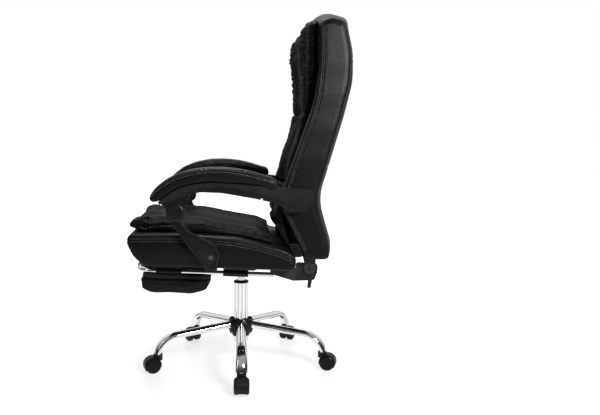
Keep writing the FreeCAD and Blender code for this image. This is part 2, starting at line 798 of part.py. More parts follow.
def make_recline_brackets():
    """Fixed side plates with the recline pins, and the pin of the release lever on the left one."""
    pivot = in_seat(size.recline_x, size.recline_z)
    release = in_seat(size.release_x, size.release_z)
    inner, plate = size.hinge_plane, size.hinge_plate
    rear = size.board_rear
    side = [(rear - 60, -1, 0), (rear - 60, -22, 10), (rear + 15, -42, 14), (pivot.x + 16, -38, 12),
            (pivot.x + 25, -12, 12), (pivot.x + 25, 18, 12), (rear + 21, 18, 6), (rear + 21, -1, 3)]
    solids = []
    for sign in (-1, 1):
        near, far = sign * inner, sign * (inner + plate)
        shape = side_slab(side, *sorted((near, far)))
        foot = block((rear - 60, rear + 5), sorted((sign * (inner - 28), far)), (-plate, 0))
        pin_end = sign * (inner + plate + size.hinge_gap + size.hinge_bar + 4)
        pin = rod_between((pivot.x, near, pivot.z), (pivot.x, pin_end, pivot.z), size.hinge_pin_radius)
        shape = shape.fuse(foot).fuse(pin)
        if sign < 0:
            reach = inner - 1.5 * size.release_thickness - size.hinge_gap * 2
            shape = shape.fuse(rod_between((release.x, near, release.z), (release.x, -reach, release.z),
                                           size.release_pin_radius))
        solids.append(shape)
    add_feature("recline_brackets", Part.makeCompound(solids), SEAT_PLACE)


def make_release_lever():
    x, z, half = size.release_x, size.release_z, size.release_width / 2
    body = add_body("recline_lever", UPPER_PLACE)
    low = z - size.release_length
    corners = [(x - half - 4, low, 4), (x + half - 6, low, 4), (x + half - 1, z - 16, 20),
               (x + half + 2, z + 8, 8), (x - half - 2, z + 8, 8), (x - half - 1, z - 16, 20)]
    hole = (x, z, size.release_pin_radius + size.running_fit)
    plane = "Sizes.hinge_plane - Sizes.hinge_gap - Sizes.release_thickness"
    sketch = side_sketch(body, "recline_lever_side", corners, plane, [hole])
    add_pad(body, sketch, "recline_lever_pad", "Sizes.release_thickness")


def make_back_hinges():
    """Swinging bars that carry the backrest on the recline pins."""
    x, z, eye = size.recline_x, size.recline_z, size.hinge_eye_radius
    top = size.hinge_bar_top
    bar = [(x - eye, z - eye, eye), (x + eye, z - eye, eye), (x + eye, z + eye + 8, 20),
           (x + 2, top, 10), (x - 25, top, 10), (x - 25, z + eye + 30, 20), (x - eye, z + eye, 20)]
    solids = []
    near = size.hinge_plane + size.hinge_plate + size.hinge_gap
    for sign in (-1, 1):
        shape = side_slab(bar, *sorted((sign * near, sign * (near + size.hinge_bar))))
        bore = rod_between((x, 0, z), (x, sign * 400, z), size.hinge_pin_radius + size.running_fit)
        solids.append(shape.cut(bore))
    add_feature("back_hinges", Part.makeCompound(solids), UPPER_PLACE)


# Seat cushions, in the seat's frame: the outline runs from the front lip over the top to the rear

SEAT_SIDE = [
    (-300, 0, 8), (-330, 30, 60), (-352, 72, 30), (-345, 96, 16), (-200, 103, 200),
    (-20, 97, 200), (128, 66, 60), (166, 44, 22), (166, 8, 14), (152, 0, 6),
]


def make_seat_base(plan):
    shape = padded_block(SEAT_SIDE, cushion_stations(size.seat_half_width, size.seat_edge_round))
    pocket = plan_slab(inset(plan, -size.seat_gap), -5, size.board_thickness + size.seat_gap)
    shape = shape.cut(pocket)
    add_feature("seat_base_cushion", shape, SEAT_PLACE)


WING_STATIONS = (-0.76, -0.6, -0.46, -0.23, 0, 0.23, 0.46, 0.6, 0.76)
WING_DISH = [(1, 0.3), (0.93, 0.15), (0.76, 0), (0.6, 0.55), (0.46, 1), (0.23, 0.9), (0, 0.85)]


def pillow(front, back, half_width, rounding, dish, arch=None):
    """A padded section: its front is highest along two wings and dished between them."""
    wires = []
    for across, draw in cushion_stations(half_width, rounding, WING_STATIONS):
        sunk = dish * curve_at(WING_DISH, abs(across) / half_width)
        outline = [(x + sunk.x, z + sunk.z, radius) for x, z, radius in front] + back
        if arch:
            outline = [(x, arch(z, across), radius) for x, z, radius in outline]
        wires.append(rounded_wire(inset(outline, draw), lambda x, z: Vector(x, across, z)))
    return Part.makeLoft(wires, True, False)


def make_seat_pillow():
    """Pillow top over the seat: a full front roll, then a long pad that falls to the rear."""
    gap = size.pillow_gap
    front = [(-357, 102, 8), (-352, 121, 16), (-327, 131, 40), (-285, 136, 100), (-244, 141, 100),
             (-140, 138, 200), (-60, 125, 200), (20, 114, 200), (98, 102, 10)]
    back = [(96, 73 + gap, 4), (-20, 97 + gap, 150), (-200, 103 + gap, 150), (-342, 96 + gap, 8)]
    shape = pillow(front, back, size.pillow_half_width, size.seat_pillow_round, Vector(0, 0, -size.seat_dish))
    add_feature("seat_pillow", shape, SEAT_PLACE)


# Footrest, in the seat's frame

def make_rail_guides():
    solids = []
    drop, spacing = -size.rail_drop, size.rail_spacing
    for x in (size.guide_front_x, size.guide_rear_x):
        span = (x - size.guide_length / 2, x + size.guide_length / 2)
        for sign in (-1, 1):
            y = sign * spacing
            barrel = rod_between((span[0], y, drop), (span[1], y, drop), size.guide_radius)
            web = block(span, (y - size.guide_web / 2, y + size.guide_web / 2), (drop, 0))
            flange_half = size.guide_flange_half_width
            flange = block(span, (y - flange_half, y + flange_half), (-size.guide_flange, 0))
            bore = rod_between((span[0] - 1, y, drop), (span[1] + 1, y, drop),
                               size.rail_radius + size.slide_fit)
            solids.append(barrel.fuse(web).fuse(flange).cut(bore))
    add_feature("rail_guides", Part.makeCompound(solids), SEAT_PLACE)


def make_footrest_tube():
    """One bent tube: two rails joined by the front crossbar."""
    front, rear, half, bend = -size.rail_front, size.rail_rear, size.rail_spacing, size.rail_bend
    drop = -size.rail_drop
    cut = bend * (1 - math.sqrt(0.5))
    points = [Vector(rear, -half, drop), Vector(front + bend, -half, drop), Vector(front, -half + bend, drop),
              Vector(front, half - bend, drop), Vector(front + bend, half, drop), Vector(rear, half, drop)]
    path = Part.Wire([
        Part.LineSegment(points[0], points[1]).toShape(),
        Part.Arc(points[1], Vector(front + cut, -half + cut, drop), points[2]).toShape(),
        Part.LineSegment(points[2], points[3]).toShape(),
        Part.Arc(points[3], Vector(front + cut, half - cut, drop), points[4]).toShape(),
        Part.LineSegment(points[4], points[5]).toShape(),
    ])
    ring = Part.Wire([Part.Circle(points[0], AXIS_X, size.rail_radius).toShape()])
    add_feature("footrest_tube", path.makePipeShell([ring], True, False), SEAT_PLACE)


def make_footrest_pad():
    drop, front, rear = -size.rail_drop, -size.rest_front, -size.rest_rear
    top, thick = size.rest_board_top, size.rest_board_thickness
    half = size.rest_half_width
    plan = [(front + 4, -half + 6, 25), (rear - 6, -half + 6, 25), (rear - 6, half - 6, 25),
            (front + 4, half - 6, 25)]
    add_feature("footrest_board", plan_slab(plan, top - thick, top), SEAT_PLACE)
    low = top - thick - size.seat_gap
    bottom = low - size.rest_pad_depth
    side = [(front, low, 3), (front + 2, bottom + 14, 10), (front + 30, bottom, 40),
            (rear - 60, bottom, 60), (rear - 14, bottom + 14, 12), (rear, low, 3)]
    add_feature("footrest_pad", padded_block(side, cushion_stations(half, 9)), SEAT_PLACE)
    solids = []
    for sign in (-1, 1):
        y = sign * size.clip_spacing
        start, end = y - size.clip_width / 2, y + size.clip_width / 2
        axis_x = -size.rail_front
        barrel = rod_between((axis_x, start, drop), (axis_x, end, drop), size.clip_barrel_radius)
        foot = block((axis_x, axis_x + size.clip_foot), (start, end), (top, drop))
        bore = rod_between((axis_x, start - 1, drop), (axis_x, end + 1, drop),
                           size.rail_radius + size.slide_fit)
        solids.append(barrel.fuse(foot).cut(bore))
    add_feature("footrest_clips", Part.makeCompound(solids), SEAT_PLACE)


# Backrest. The table runs down the back: (height, distance of the board's front behind the column).

BOARD_FRONT = [
    (1160, 233), (1096, 233), (1000, 232), (880, 222), (800, 208), (735, 190), (655, 170),
    (580, 161), (520, 163), (470, 175), (440, 183), (404, 190),
]
BOX_FRONT = [
    (190, 404, 12), (186, 425, 60), (146, 508, 200), (112, 575, 60), (131, 645, 300), (213, 880, 260),
    (229, 1000, 300), (229, 1128, 18), (264, 1142, 60),
]
BOX_REAR = [
    (306, 1130, 22), (325, 1050, 200), (325, 960, 200), (300, 855, 400), (223, 588, 150),
    (268, 450, 100), (268, 404, 16),
]
HEAD_FRONT = [
    (186, 862, 14), (183, 885, 40), (184, 930, 200), (180, 1000, 300), (169, 1068, 80), (172, 1100, 50),
    (194, 1123, 16),
]
MID_FRONT = [
    (133, 626, 14), (131, 655, 60), (137, 690, 200), (149, 735, 200), (163, 771, 150), (172, 806, 80),
    (182, 853, 14),
]
LUMBAR_FRONT = [
    (134, 440, 14), (108, 474, 20), (101, 500, 12), (112, 513, 5), (101, 526, 12), (103, 548, 40),
    (110, 580, 60), (122, 618, 14),
]


def arched(height, across):
    """A height with the crown's arch added, growing from nothing at the arch's foot."""
    foot = BOX_FRONT[-1][1] - size.crown_band
    share = max(0, (height - foot) / size.crown_band)
    return height + size.crown_rise * share * (1 - (across / size.back_half_width) ** 2)


def board_points(heights, offset, radius):
    return [(curve_at(BOARD_FRONT, z) + offset, z, radius) for z in heights]


def board_strip(heights, forward, behind):
    """A side outline that follows the board's curve, from forward of it to behind it."""
    front = [(curve_at(BOARD_FRONT, z) - forward, z, 150) for z in heights]
    rear = [(curve_at(BOARD_FRONT, z) + behind, z, 150) for z in reversed(heights)]
    strip = front + rear
    for end in (0, len(front) - 1, len(front), len(strip) - 1):
        strip[end] = (strip[end][0], strip[end][1], 0)
    return strip


def make_back_board():
    heights = [412, 440, 470, 520, 580, 655, 735, 800, 880, 1000, 1096]
    strip = board_strip(heights, 0, size.back_board_thickness)
    half = size.back_board_half_width
    add_feature("back_board", side_slab(strip, -half, half), UPPER_PLACE)


def make_back_cushion():
    """Deep side box of the backrest, with a recess in front for the board and the pillows."""
    half = size.back_half_width
    wires = []
    for across, draw in cushion_stations(half, size.back_edge_round, (-0.6, -0.3, 0, 0.3, 0.6)):
        bulge = size.back_bulge * (1 - (across / half) ** 4)
        rear = [(x + bulge, z, radius) for x, z, radius in BOX_REAR]
        outline = [(x, arched(z, across), radius) for x, z, radius in BOX_FRONT + rear]
        wires.append(rounded_wire(inset(outline, draw), lambda x, z: Vector(x, across, z)))
    shape = Part.makeLoft(wires, True, True)
    heights = [380, 404, 440, 470, 520, 580, 655, 735, 800, 880, 1000, 1098]
    recess = side_slab(board_strip(heights, 90, size.back_board_thickness + size.seat_gap),
                       -size.recess_half_width, size.recess_half_width)
    shape = shape.cut(recess)
    near = size.hinge_plane + size.hinge_plate + size.hinge_gap - size.seat_gap
    far = near + size.hinge_bar + 2 * size.seat_gap
    x = size.recline_x
    for sign in (-1, 1):
        slot = block((x - 40, x + 24), sorted((sign * near, sign * far)), (380, size.hinge_bar_top + 2))
        shape = shape.cut(slot)
    add_feature("back_cushion", shape, UPPER_PLACE)


def make_back_pillows():
    gap = -size.pillow_gap
    box_front = BOX_FRONT[-2][0] + gap
    sections = {
        "head_pillow": (HEAD_FRONT, [(box_front, 1126, 4), (box_front, 1080, 60)]
                        + board_points([1000, 880, 863], gap, 60)),
        "mid_pillow": (MID_FRONT, board_points([853, 800, 735, 655, 626], gap, 60)),
        "lumbar_pillow": (LUMBAR_FRONT, board_points([618, 580, 520, 470, 441], gap, 60)),
    }
    dish = Vector(size.wing_dish, 0, 0)
    for label, (front, back) in sections.items():
        back[0] = (back[0][0], back[0][1], 4)
        back[-1] = (back[-1][0], back[-1][1], 4)
        shape = pillow(front, back, size.back_pillow_half_width, size.pillow_round, dish, arched)
        add_feature(label, shape, UPPER_PLACE)


def make_arm_hinge_plates():
    """Plates on the backrest's sides, each with the pin that the armrest's tail hangs on."""
    x, z = size.arm_rear_x, size.arm_rear_z
    near = size.back_half_width + size.seat_gap
    far = near + size.hinge_plate
    corners = [(x - 28, z - 30, 14), (x + 32, z - 30, 14), (x + 32, z + 34, 14), (x - 22, z + 34, 14)]
    solids = []
    for sign in (-1, 1):
        plate = side_slab(corners, *sorted((sign * near, sign * far)))
        end = sign * (size.arm_inner + size.open_pivot_reach)
        solids.append(plate.fuse(rod_between((x, sign * near, z), (x, end, z), size.open_pivot_radius)))
    add_feature("arm_hinge_plates", Part.makeCompound(solids), UPPER_PLACE)


# Armrests: strut, frame, pad and pivot, left side first

ARM_SEAM = [(-246, 592, 12), (-230, 602, 40), (-193, 629, 80), (-150, 643, 120), (-95, 649, 200),
            (-5, 645, 200), (78, 637, 60)]


# Raised line along the beam's outer face, round the tip of its tail
ARM_LINE = [
    (-170, 600, 0), (-150, 619, 60), (-110, 631, 80), (-60, 634, 100), (-5, 628, 200), (53, 614, 200),
    (99, 598, 200), (135, 582, 100), (160, 573, 40), (184, 571, 8), (199, 588, 20), (216, 616, 0),
]


def make_strut():
    s_x, s_z, f_x, f_z = size.strut_bolt_x, size.strut_bolt_z, size.arm_pivot_x, size.arm_pivot_z
    blade = [
        (s_x - 8, s_z - 38, 8), (s_x + 16, s_z - 38, 10), (s_x + 27, s_z + 8, 40), (s_x + 14, s_z + 38, 24),
        (f_x + 40, f_z - 62, 60), (f_x + 15, f_z - 36, 20), (f_x + 12, f_z, 0), (f_x - 14, f_z, 0),
        (f_x - 13, f_z - 36, 30), (s_x - 60, s_z + 24, 400),
    ]
    inner = -size.strut_plane
    outer = inner - size.strut_thickness
    shape = side_slab(blade, outer, inner)
    recess = side_slab(inset(blade, size.strut_rim), outer - 1, outer + size.strut_recess)
    above_neck = block((f_x - 60, f_x + 60), (outer - 5, inner + 5), (f_z - 34, f_z + 60))
    shape = shape.cut(recess.cut(above_neck))
    eye = rod_between((f_x, outer, f_z), (f_x, inner, f_z), size.strut_eye_radius)
    boss = rod_between((s_x, outer + size.strut_recess, s_z), (s_x, inner, s_z), 12)
    shape = shape.fuse(eye).fuse(boss)
    for x, z in ((s_x, s_z), (f_x, f_z)):
        bore = rod_between((x, outer - 5, z), (x, inner + 5, z), size.pivot_radius + size.running_fit)
        shape = shape.cut(bore)
    strut = add_feature("strut_left", shape, UPPER_PLACE)
    add_mirror("strut_right", strut)


def make_arm_frame():
    f_x, f_z, r_x, r_z = size.arm_pivot_x, size.arm_pivot_z, size.arm_rear_x, size.arm_rear_z
    seam = [(x, z, radius) for x, z, radius in ARM_SEAM]
    tail = [(r_x + 56, r_z + 45, 8), (r_x + 65, r_z + 32, 8), (r_x + 46, r_z - 14, 8),
            (r_x + 26, r_z - 22, 20), (r_x - 16, r_z - 21, 30), (r_x - 50, r_z + 6, 60), (40, 602, 100),
            (-60, 619, 200), (-125, 621, 60), (-170, 608, 60), (-240, 584, 8)]
    inner, outer = -size.arm_inner, -size.arm_outer
    shape = side_slab(seam + tail, outer, inner)
    tail_outer = -size.arm_tail_outer

    def plan(step):
        return [(-300, inner, 0), (-300, outer + step, 30), (50, outer + step, 60),
                (r_x - 30, tail_outer - 2 + step, 60), (r_x + 90, tail_outer + 4 + step, 0),
                (r_x + 90, inner, 0)]

    shape = shape.common(plan_slab(plan(0), 400, 800))
    # Below its raised line the beam's outer face steps back.
    lower = side_slab(ARM_LINE + [(r_x + 90, 616, 0), (r_x + 90, 540, 0), (-170, 540, 0)], outer - 1, inner)
    shape = shape.cut(lower.cut(plan_slab(plan(size.arm_step), 400, 800)))
    # The beam is a channel, open below, between its front lug and its tail.
    wall = size.arm_wall
    hollow = [(-160, 540, 0), (-160, 612, 10), (-95, 636, 120), (-5, 633, 120), (60, 626, 30), (60, 540, 0)]
    shape = shape.cut(side_slab(hollow, outer + wall, inner - wall))
    lug_inner = -(size.strut_plane + size.strut_thickness + size.lug_gap)
    lug_outer = lug_inner - size.lug_thickness
    radius = size.pivot_cap_radius
    lug = [(-240, 586, 6), (f_x - radius, f_z + 8, 10), (f_x - radius, f_z - radius, radius),
           (f_x + radius, f_z - radius, radius), (f_x + radius, f_z + 14, 14), (-152, 616, 6), (-175, 622, 0),
           (-225, 600, 0)]
    shape = shape.fuse(side_slab(lug, lug_outer, lug_inner))
    bore = rod_between((f_x, -500, f_z), (f_x, 0, f_z), size.pivot_radius + size.press_gap)
    shape = shape.cut(bore)
    # Blind pocket round the rear pin, with room for the small error of the coupled motion.
    pocket = rod_between((r_x, 0, r_z), (r_x, -(size.arm_inner + size.open_pivot_reach + 3), r_z),
                         size.open_pivot_radius + size.open_pivot_clearance)
    frame = add_feature("arm_frame_left", shape.cut(pocket), UPPER_PLACE)
    add_mirror("arm_frame_right", frame)
    return lug_outer


def make_arm_pad():
    gap = size.seat_gap
    seam = [(x, z + gap, radius) for x, z, radius in ARM_SEAM]
    under = [(-262, 590 + gap, 6)]
    top = [(98, 640, 6), (98, 660, 12), (46, 677, 120), (-10, 690, 150), (-75, 696, 300), (-150, 688, 200),
           (-210, 667, 120), (-256, 632, 60), (-274, 602, 12)]
    middle = (size.arm_inner + size.arm_outer) / 2
    half = (size.arm_outer - size.arm_inner) / 2 + 1
    stations = [(across - middle, draw) for across, draw in cushion_stations(half, 9)]
    pad = add_feature("arm_pad_left", padded_block(seam + top + under, stations), UPPER_PLACE)
    add_mirror("arm_pad_right", pad)


def make_pivot_cap(lug_outer):
    """Round cap on the arm's front lug, with the pivot pin behind it."""
    f_x, f_z = size.arm_pivot_x, size.arm_pivot_z
    thick, radius = size.pivot_cap_thickness, size.pivot_cap_radius
    cap = rod_between((f_x, lug_outer, f_z), (f_x, lug_outer - thick * 0.6, f_z), radius)
    face = Part.makeCone(radius, radius - 6, thick * 0.4, Vector(f_x, lug_outer - thick * 0.6, f_z),
                         Vector(0, -1, 0))
    pin = rod_between((f_x, lug_outer, f_z), (f_x, -size.strut_plane, f_z), size.pivot_radius)
    pivot = add_feature("arm_pivot_left", cap.fuse(face).fuse(pin), UPPER_PLACE)
    add_mirror("arm_pivot_right", pivot)


make_star_base()
make_hub_cover()
make_column()
make_gas_rod()
make_gas_cylinder()
make_casters()
board_plan = make_seat_board()
make_mechanism()
make_height_lever()
make_seat_bolts()
make_arm_brackets()
make_recline_brackets()
make_release_lever()
make_seat_base(board_plan)
make_seat_pillow()
make_rail_guides()
make_footrest_tube()
make_footrest_pad()
make_back_hinges()
make_back_board()
make_back_cushion()
make_back_pillows()
make_arm_hinge_plates()
make_strut()
make_pivot_cap(make_arm_frame())
make_arm_pad()

doc.recompute()
for item in doc.Objects:
    if "Invalid" in item.State or "Error" in item.State:
        raise RuntimeError(f"{item.Label} is {item.State}")
for part in sub_parts:
    if part.Shape.isNull() or not part.Shape.isValid():
        raise RuntimeError(f"{part.Label} has no valid shape")

os.makedirs("parts", exist_ok=True)
for part in sub_parts:
    part.Shape.exportStep(f"parts/{part.Label}.step")
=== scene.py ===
import json
import math

import bmesh
import bpy
import numpy as np
from mathutils import Matrix, Vector, noise
from mathutils.bvhtree import BVHTree
from mathutils.kdtree import KDTree


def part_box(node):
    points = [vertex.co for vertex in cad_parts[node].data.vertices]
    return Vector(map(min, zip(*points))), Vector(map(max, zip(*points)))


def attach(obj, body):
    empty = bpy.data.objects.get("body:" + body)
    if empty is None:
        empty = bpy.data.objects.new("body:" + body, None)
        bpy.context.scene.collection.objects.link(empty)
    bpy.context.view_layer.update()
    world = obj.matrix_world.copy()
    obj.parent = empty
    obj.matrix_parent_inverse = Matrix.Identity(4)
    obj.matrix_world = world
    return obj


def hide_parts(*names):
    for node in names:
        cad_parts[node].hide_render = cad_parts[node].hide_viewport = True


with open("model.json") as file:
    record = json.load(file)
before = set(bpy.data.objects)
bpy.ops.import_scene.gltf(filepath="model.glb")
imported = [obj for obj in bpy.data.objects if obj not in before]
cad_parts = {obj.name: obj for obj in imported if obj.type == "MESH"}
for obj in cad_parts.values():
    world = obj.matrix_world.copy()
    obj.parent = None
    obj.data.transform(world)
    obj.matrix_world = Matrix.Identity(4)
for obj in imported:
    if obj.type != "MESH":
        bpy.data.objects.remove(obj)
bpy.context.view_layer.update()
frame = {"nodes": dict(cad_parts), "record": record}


# Node trees: a small class for formulas, and one for a finish.

class Value:
    """One output of a node tree, usable in formulas."""

    def __init__(self, tree, socket):
        self.tree = tree
        self.socket = socket

    def math(self, operation, first, second=None):
        return self.tree.node("ShaderNodeMath", [first, second], operation=operation)

    def __add__(self, other):
        return self.math("ADD", self, other)

    def __radd__(self, other):
        return self.math("ADD", other, self)

    def __sub__(self, other):
        return self.math("SUBTRACT", self, other)

    def __rsub__(self, other):
        return self.math("SUBTRACT", other, self)

    def __mul__(self, other):
        return self.math("MULTIPLY", self, other)

    def absolute(self):
        return self.math("ABSOLUTE", self)

    def sine(self):
        return self.math("SINE", self)

    def over(self, low, high):
        """0 below low and 1 above high, with a smooth step between."""
        return self.tree.node(
            "ShaderNodeMapRange", {"Value": self, "From Min": low, "From Max": high},
            interpolation_type="SMOOTHSTEP",
        )


class Finish:
    """A material made of nodes round one Principled shader."""

    def __init__(self, name, **constants):
        self.material = bpy.data.materials.new(name)
        self.material.use_nodes = True
        self.nodes = self.material.node_tree.nodes
        self.links = self.material.node_tree.links
        self.nodes.clear()
        self.shader = self.nodes.new("ShaderNodeBsdfPrincipled")
        self.output = self.nodes.new("ShaderNodeOutputMaterial")
        self.links.new(self.shader.outputs[0], self.output.inputs["Surface"])
        for socket, constant in constants.items():
            self.shader.inputs[constant_socket(socket)].default_value = constant

    def node(self, kind, inputs=(), out=0, **settings):
        """Adds any node; inputs by place or by name; gives one output as a Value."""
        made = self.nodes.new(kind)
        for setting, choice in settings.items():
            setattr(made, setting, choice)
        pairs = inputs.items() if isinstance(inputs, dict) else enumerate(inputs)
        for key, given in pairs:
            if given is None:
                continue
            if isinstance(given, Value):
                self.links.new(given.socket, made.inputs[key])
            else:
                made.inputs[key].default_value = given
        return Value(self, made.outputs[out])

    def place(self, stretch=(1.0, 1.0, 1.0), turn=(0.0, 0.0, 0.0)):
        """Object coordinates in metres, stretched and turned."""
        where = self.node("ShaderNodeTexCoord", out="Object")
        return self.node("ShaderNodeMapping", {"Vector": where, "Scale": stretch, "Rotation": turn})

    def part(self, vector, axis):
        return self.node("ShaderNodeSeparateXYZ", [vector], out=axis)

    def clouds(self, where, scale, detail=3.0, rough=0.5):
        return self.node(
            "ShaderNodeTexNoise",
            {"Vector": where, "Scale": scale, "Detail": detail, "Roughness": rough},
        )

    def cells(self, where, scale, feature="SMOOTH_F1"):
        inputs = {"Vector": where, "Scale": scale}
        return self.node("ShaderNodeTexVoronoi", inputs, out="Distance", feature=feature)

    def mixed(self, low, high, factor):
        """Two colours mixed by a factor; the numbers are the mix node's colour sockets."""
        return self.node("ShaderNodeMix", {0: factor, 6: low, 7: high}, out=2, data_type="RGBA")

    def convex_edge(self, low, high):
        """1 on convex edges and 0 elsewhere."""
        return self.node("ShaderNodeNewGeometry", out="Pointiness").over(low, high)

    def drive(self, socket, value):
        self.links.new(value.socket, self.shader.inputs[socket])

    def relief(self, height, distance, strength=1.0):
        made = self.node(
            "ShaderNodeBump", {"Height": height, "Distance": distance, "Strength": strength}
        )
        self.drive("Normal", made)


def constant_socket(name):
    return name.replace("_", " ").title().replace("Ior", "IOR")


def grey(level, warm=0.0):
    return (level * (1.0 + warm), level, level * (1.0 - warm), 1.0)


def leather_finish(name, gloss, rough):
    made = Finish(name, specular_ior_level=gloss)
    where = made.place()
    tone = made.clouds(where, 7.0, 4.0)
    creases = made.clouds(made.place((1.0, 1.0, 1.4)), 42.0, 5.0, 0.62)
    pebbles = made.cells(where, 620.0)
    pores = made.clouds(where, 1900.0, 2.0)
    edge_wear_and_highlight = made.convex_edge(0.5, 0.57)
    shade = made.mixed(grey(0.0025), grey(0.005), tone)
    made.drive("Base Color", made.mixed(shade, grey(0.02), edge_wear_and_highlight * 0.5))
    made.drive("Roughness", rough + tone * 0.10 + pebbles * 0.08 - edge_wear_and_highlight * 0.05)
    made.relief(creases * 0.6 + pebbles * 0.16 + pores * 0.05, 0.0011, 0.75)
    return made.material


def piping_finish():
    made = Finish("leather_piping", specular_ior_level=0.3)
    where = made.place()
    tone = made.clouds(where, 25.0, 3.0)
    pebbles = made.cells(where, 900.0)
    made.drive("Base Color", made.mixed(grey(0.006), grey(0.010), tone))
    made.drive("Roughness", 0.42 + pebbles * 0.12)
    made.relief(pebbles * 0.3 + tone, 0.0005)
    return made.material


def thread_finish():
    made = Finish("stitch_thread", specular_ior_level=0.35, sheen_weight=0.3)
    twist = made.part(made.place(turn=(0.3, 0.5, 0.2)), "Z")
    strand = (twist * 9000.0).sine()
    made.drive("Base Color", made.mixed(grey(0.06), grey(0.13), strand * 0.5 + 0.5))
    made.drive("Roughness", 0.55 + strand * 0.1)
    made.relief(strand, 0.0001)
    return made.material


def moulded_finish(name, level, rough, texture):
    """Moulded plastic: fine eroded texture, slightly polished on its edges, and painted lighter on
    its convex edges as a highlight.
    """
    made = Finish(name, specular_ior_level=0.22)
    where = made.place()
    tone = made.clouds(where, 11.0, 3.0)
    grain = made.clouds(where, 1400.0, 3.0, 0.6)
    edge_wear_and_highlight = made.convex_edge(0.52, 0.6)
    shade = made.mixed(grey(level * 0.8), grey(level * 1.25), tone)
    # Convex edges get a lighter base colour: a painted highlight along the rims.
    made.drive("Base Color", made.mixed(shade, grey(level * 3.0), edge_wear_and_highlight * 0.6))
    made.drive("Roughness", rough + grain * 0.12 + tone * 0.06 - edge_wear_and_highlight * 0.12)
    made.relief(grain * 0.5 + tone * 0.4, texture)
    return made.material


def coated_steel_finish():
    """Powder coat: orange peel over sheet steel, rubbed on its edges."""
    made = Finish("black_steel", specular_ior_level=0.25)
    where = made.place()
    peel = made.clouds(where, 420.0, 2.0)
    tone = made.clouds(where, 16.0, 4.0)
    edge_wear_and_highlight = made.convex_edge(0.53, 0.6)
    made.drive("Base Color", made.mixed(grey(0.005), grey(0.04), edge_wear_and_highlight * 0.7 + tone * 0.1))
    made.drive("Roughness", 0.36 + tone * 0.14 + peel * 0.05)
    made.drive("Metallic", edge_wear_and_highlight * 0.3)
    made.relief(peel, 0.0004)
    return made.material


def plated_finish(name, level, rough, smudge, brushed=0.0):
    """Plated metal: polished or ground, with faint wiping marks."""
    made = Finish(name, metallic=1.0)
    where = made.place()
    marks = made.clouds(where, 26.0, 5.0, 0.65)
    scratches = made.clouds(made.place((1.0, 1.0, 0.02)), 2600.0, 2.0)
    shade = made.mixed(grey(level * 0.96), grey(level * 1.03, -0.008), marks)
    made.drive("Base Color", shade)
    made.drive("Roughness", rough + marks * smudge + scratches * brushed)
    made.relief(scratches * brushed + marks * 0.02, 0.0002)
    return made.material


def brass_finish():
    made = Finish("brass", metallic=1.0)
    marks = made.clouds(made.place(), 60.0, 4.0)
    made.drive("Base Color", made.mixed((0.62, 0.44, 0.2, 1.0), (0.78, 0.6, 0.3, 1.0), marks))
    made.drive("Roughness", 0.24 + marks * 0.2)
    return made.material


def plywood_finish():
    """Plywood: long grain on the faces, thin layers on the edges."""
    made = Finish("plywood", specular_ior_level=0.3)
    where = made.place()
    grain = made.clouds(made.place((1.0, 14.0, 14.0)), 9.0, 6.0, 0.6)
    rings = (made.part(where, "Y") * 260.0 + grain * 22.0).sine()
    layers = (made.part(where, "Z") * 2100.0).sine().over(-0.3, 0.3)
    upright = made.part(made.node("ShaderNodeNewGeometry", out="Normal"), "Z").absolute()
    face = made.mixed((0.5, 0.33, 0.17, 1.0), (0.68, 0.5, 0.3, 1.0), grain * 0.6 + rings * 0.2)
    edge = made.mixed((0.36, 0.22, 0.11, 1.0), (0.66, 0.49, 0.3, 1.0), layers)
    made.drive("Base Color", made.mixed(edge, face, upright.over(0.5, 0.7)))
    made.drive("Roughness", 0.6 + grain * 0.2)
    made.relief(grain, 0.0004)
    return made.material


def lining_finish():
    """Black non-woven cloth that wraps the boards: pressed dots over matted fibres."""
    made = Finish("board_lining", specular_ior_level=0.25, sheen_weight=0.15)
    where = made.place()
    fibres = made.clouds(where, 1200.0, 4.0, 0.7)
    dots = made.cells(where, 480.0, "F1")
    tone = made.clouds(where, 14.0, 3.0)
    made.drive("Base Color", made.mixed(grey(0.008), grey(0.02), fibres * 0.7 + tone * 0.3))
    made.drive("Roughness", 0.75 + fibres * 0.15)
    made.relief(fibres * 0.5 + dots, 0.0004)
    return made.material


def wheel_finish():
    made = Finish("wheel_plastic", specular_ior_level=0.15)
    where = made.place()
    tone = made.clouds(where, 90.0, 4.0)
    dust = made.part(where, "Z").over(0.012, 0.0)
    made.drive("Base Color", made.mixed(grey(0.004), grey(0.03), dust * 0.3 + tone * 0.08))
    made.drive("Roughness", 0.26 + tone * 0.14 + dust * 0.25)
    made.relief(tone, 0.00015)
    return made.material


def floor_finish():
    """Pale floor: keeps the chair's shadow and meets the white backdrop without an edge."""
    made = Finish("pale_floor", specular_ior_level=0.4)
    where = made.place()
    tone = made.clouds(where, 3.0, 2.0)
    made.drive("Base Color", made.mixed(grey(0.88), grey(0.9), tone))
    made.drive("Roughness", 0.22 + tone * 0.04)
    distance = made.node("ShaderNodeVectorMath", [where], out="Value", operation="LENGTH")
    eye = made.node("ShaderNodeLightPath", out="Is Camera Ray")
    mirror = made.node("ShaderNodeLightPath", out="Is Glossy Ray")
    bearing = made.node(
        "ShaderNodeMath", [made.part(where, "X"), made.part(where, "Y")], operation="ARCTAN2"
    )
    # Seen in chrome, the floor glows near the chair in bright and dim sectors.
    streaks = (bearing * 6.0).sine().over(-0.9, 0.3)
    near = 1.0 - distance.over(1.5, 2.2)
    glow = made.mixed(grey(1.0), grey(0.5), mirror * (1.0 - streaks * 0.6))
    white = made.node("ShaderNodeEmission", {"Color": glow, "Strength": 1.4})
    lift = eye * (0.5 + distance.over(0.5, 1.0) * 0.5) + mirror * near * 0.85
    lit = Value(made, made.shader.outputs[0])
    blend = made.node("ShaderNodeMixShader", [lift, lit, white])
    made.links.new(blend.socket, made.output.inputs["Surface"])
    return made.material


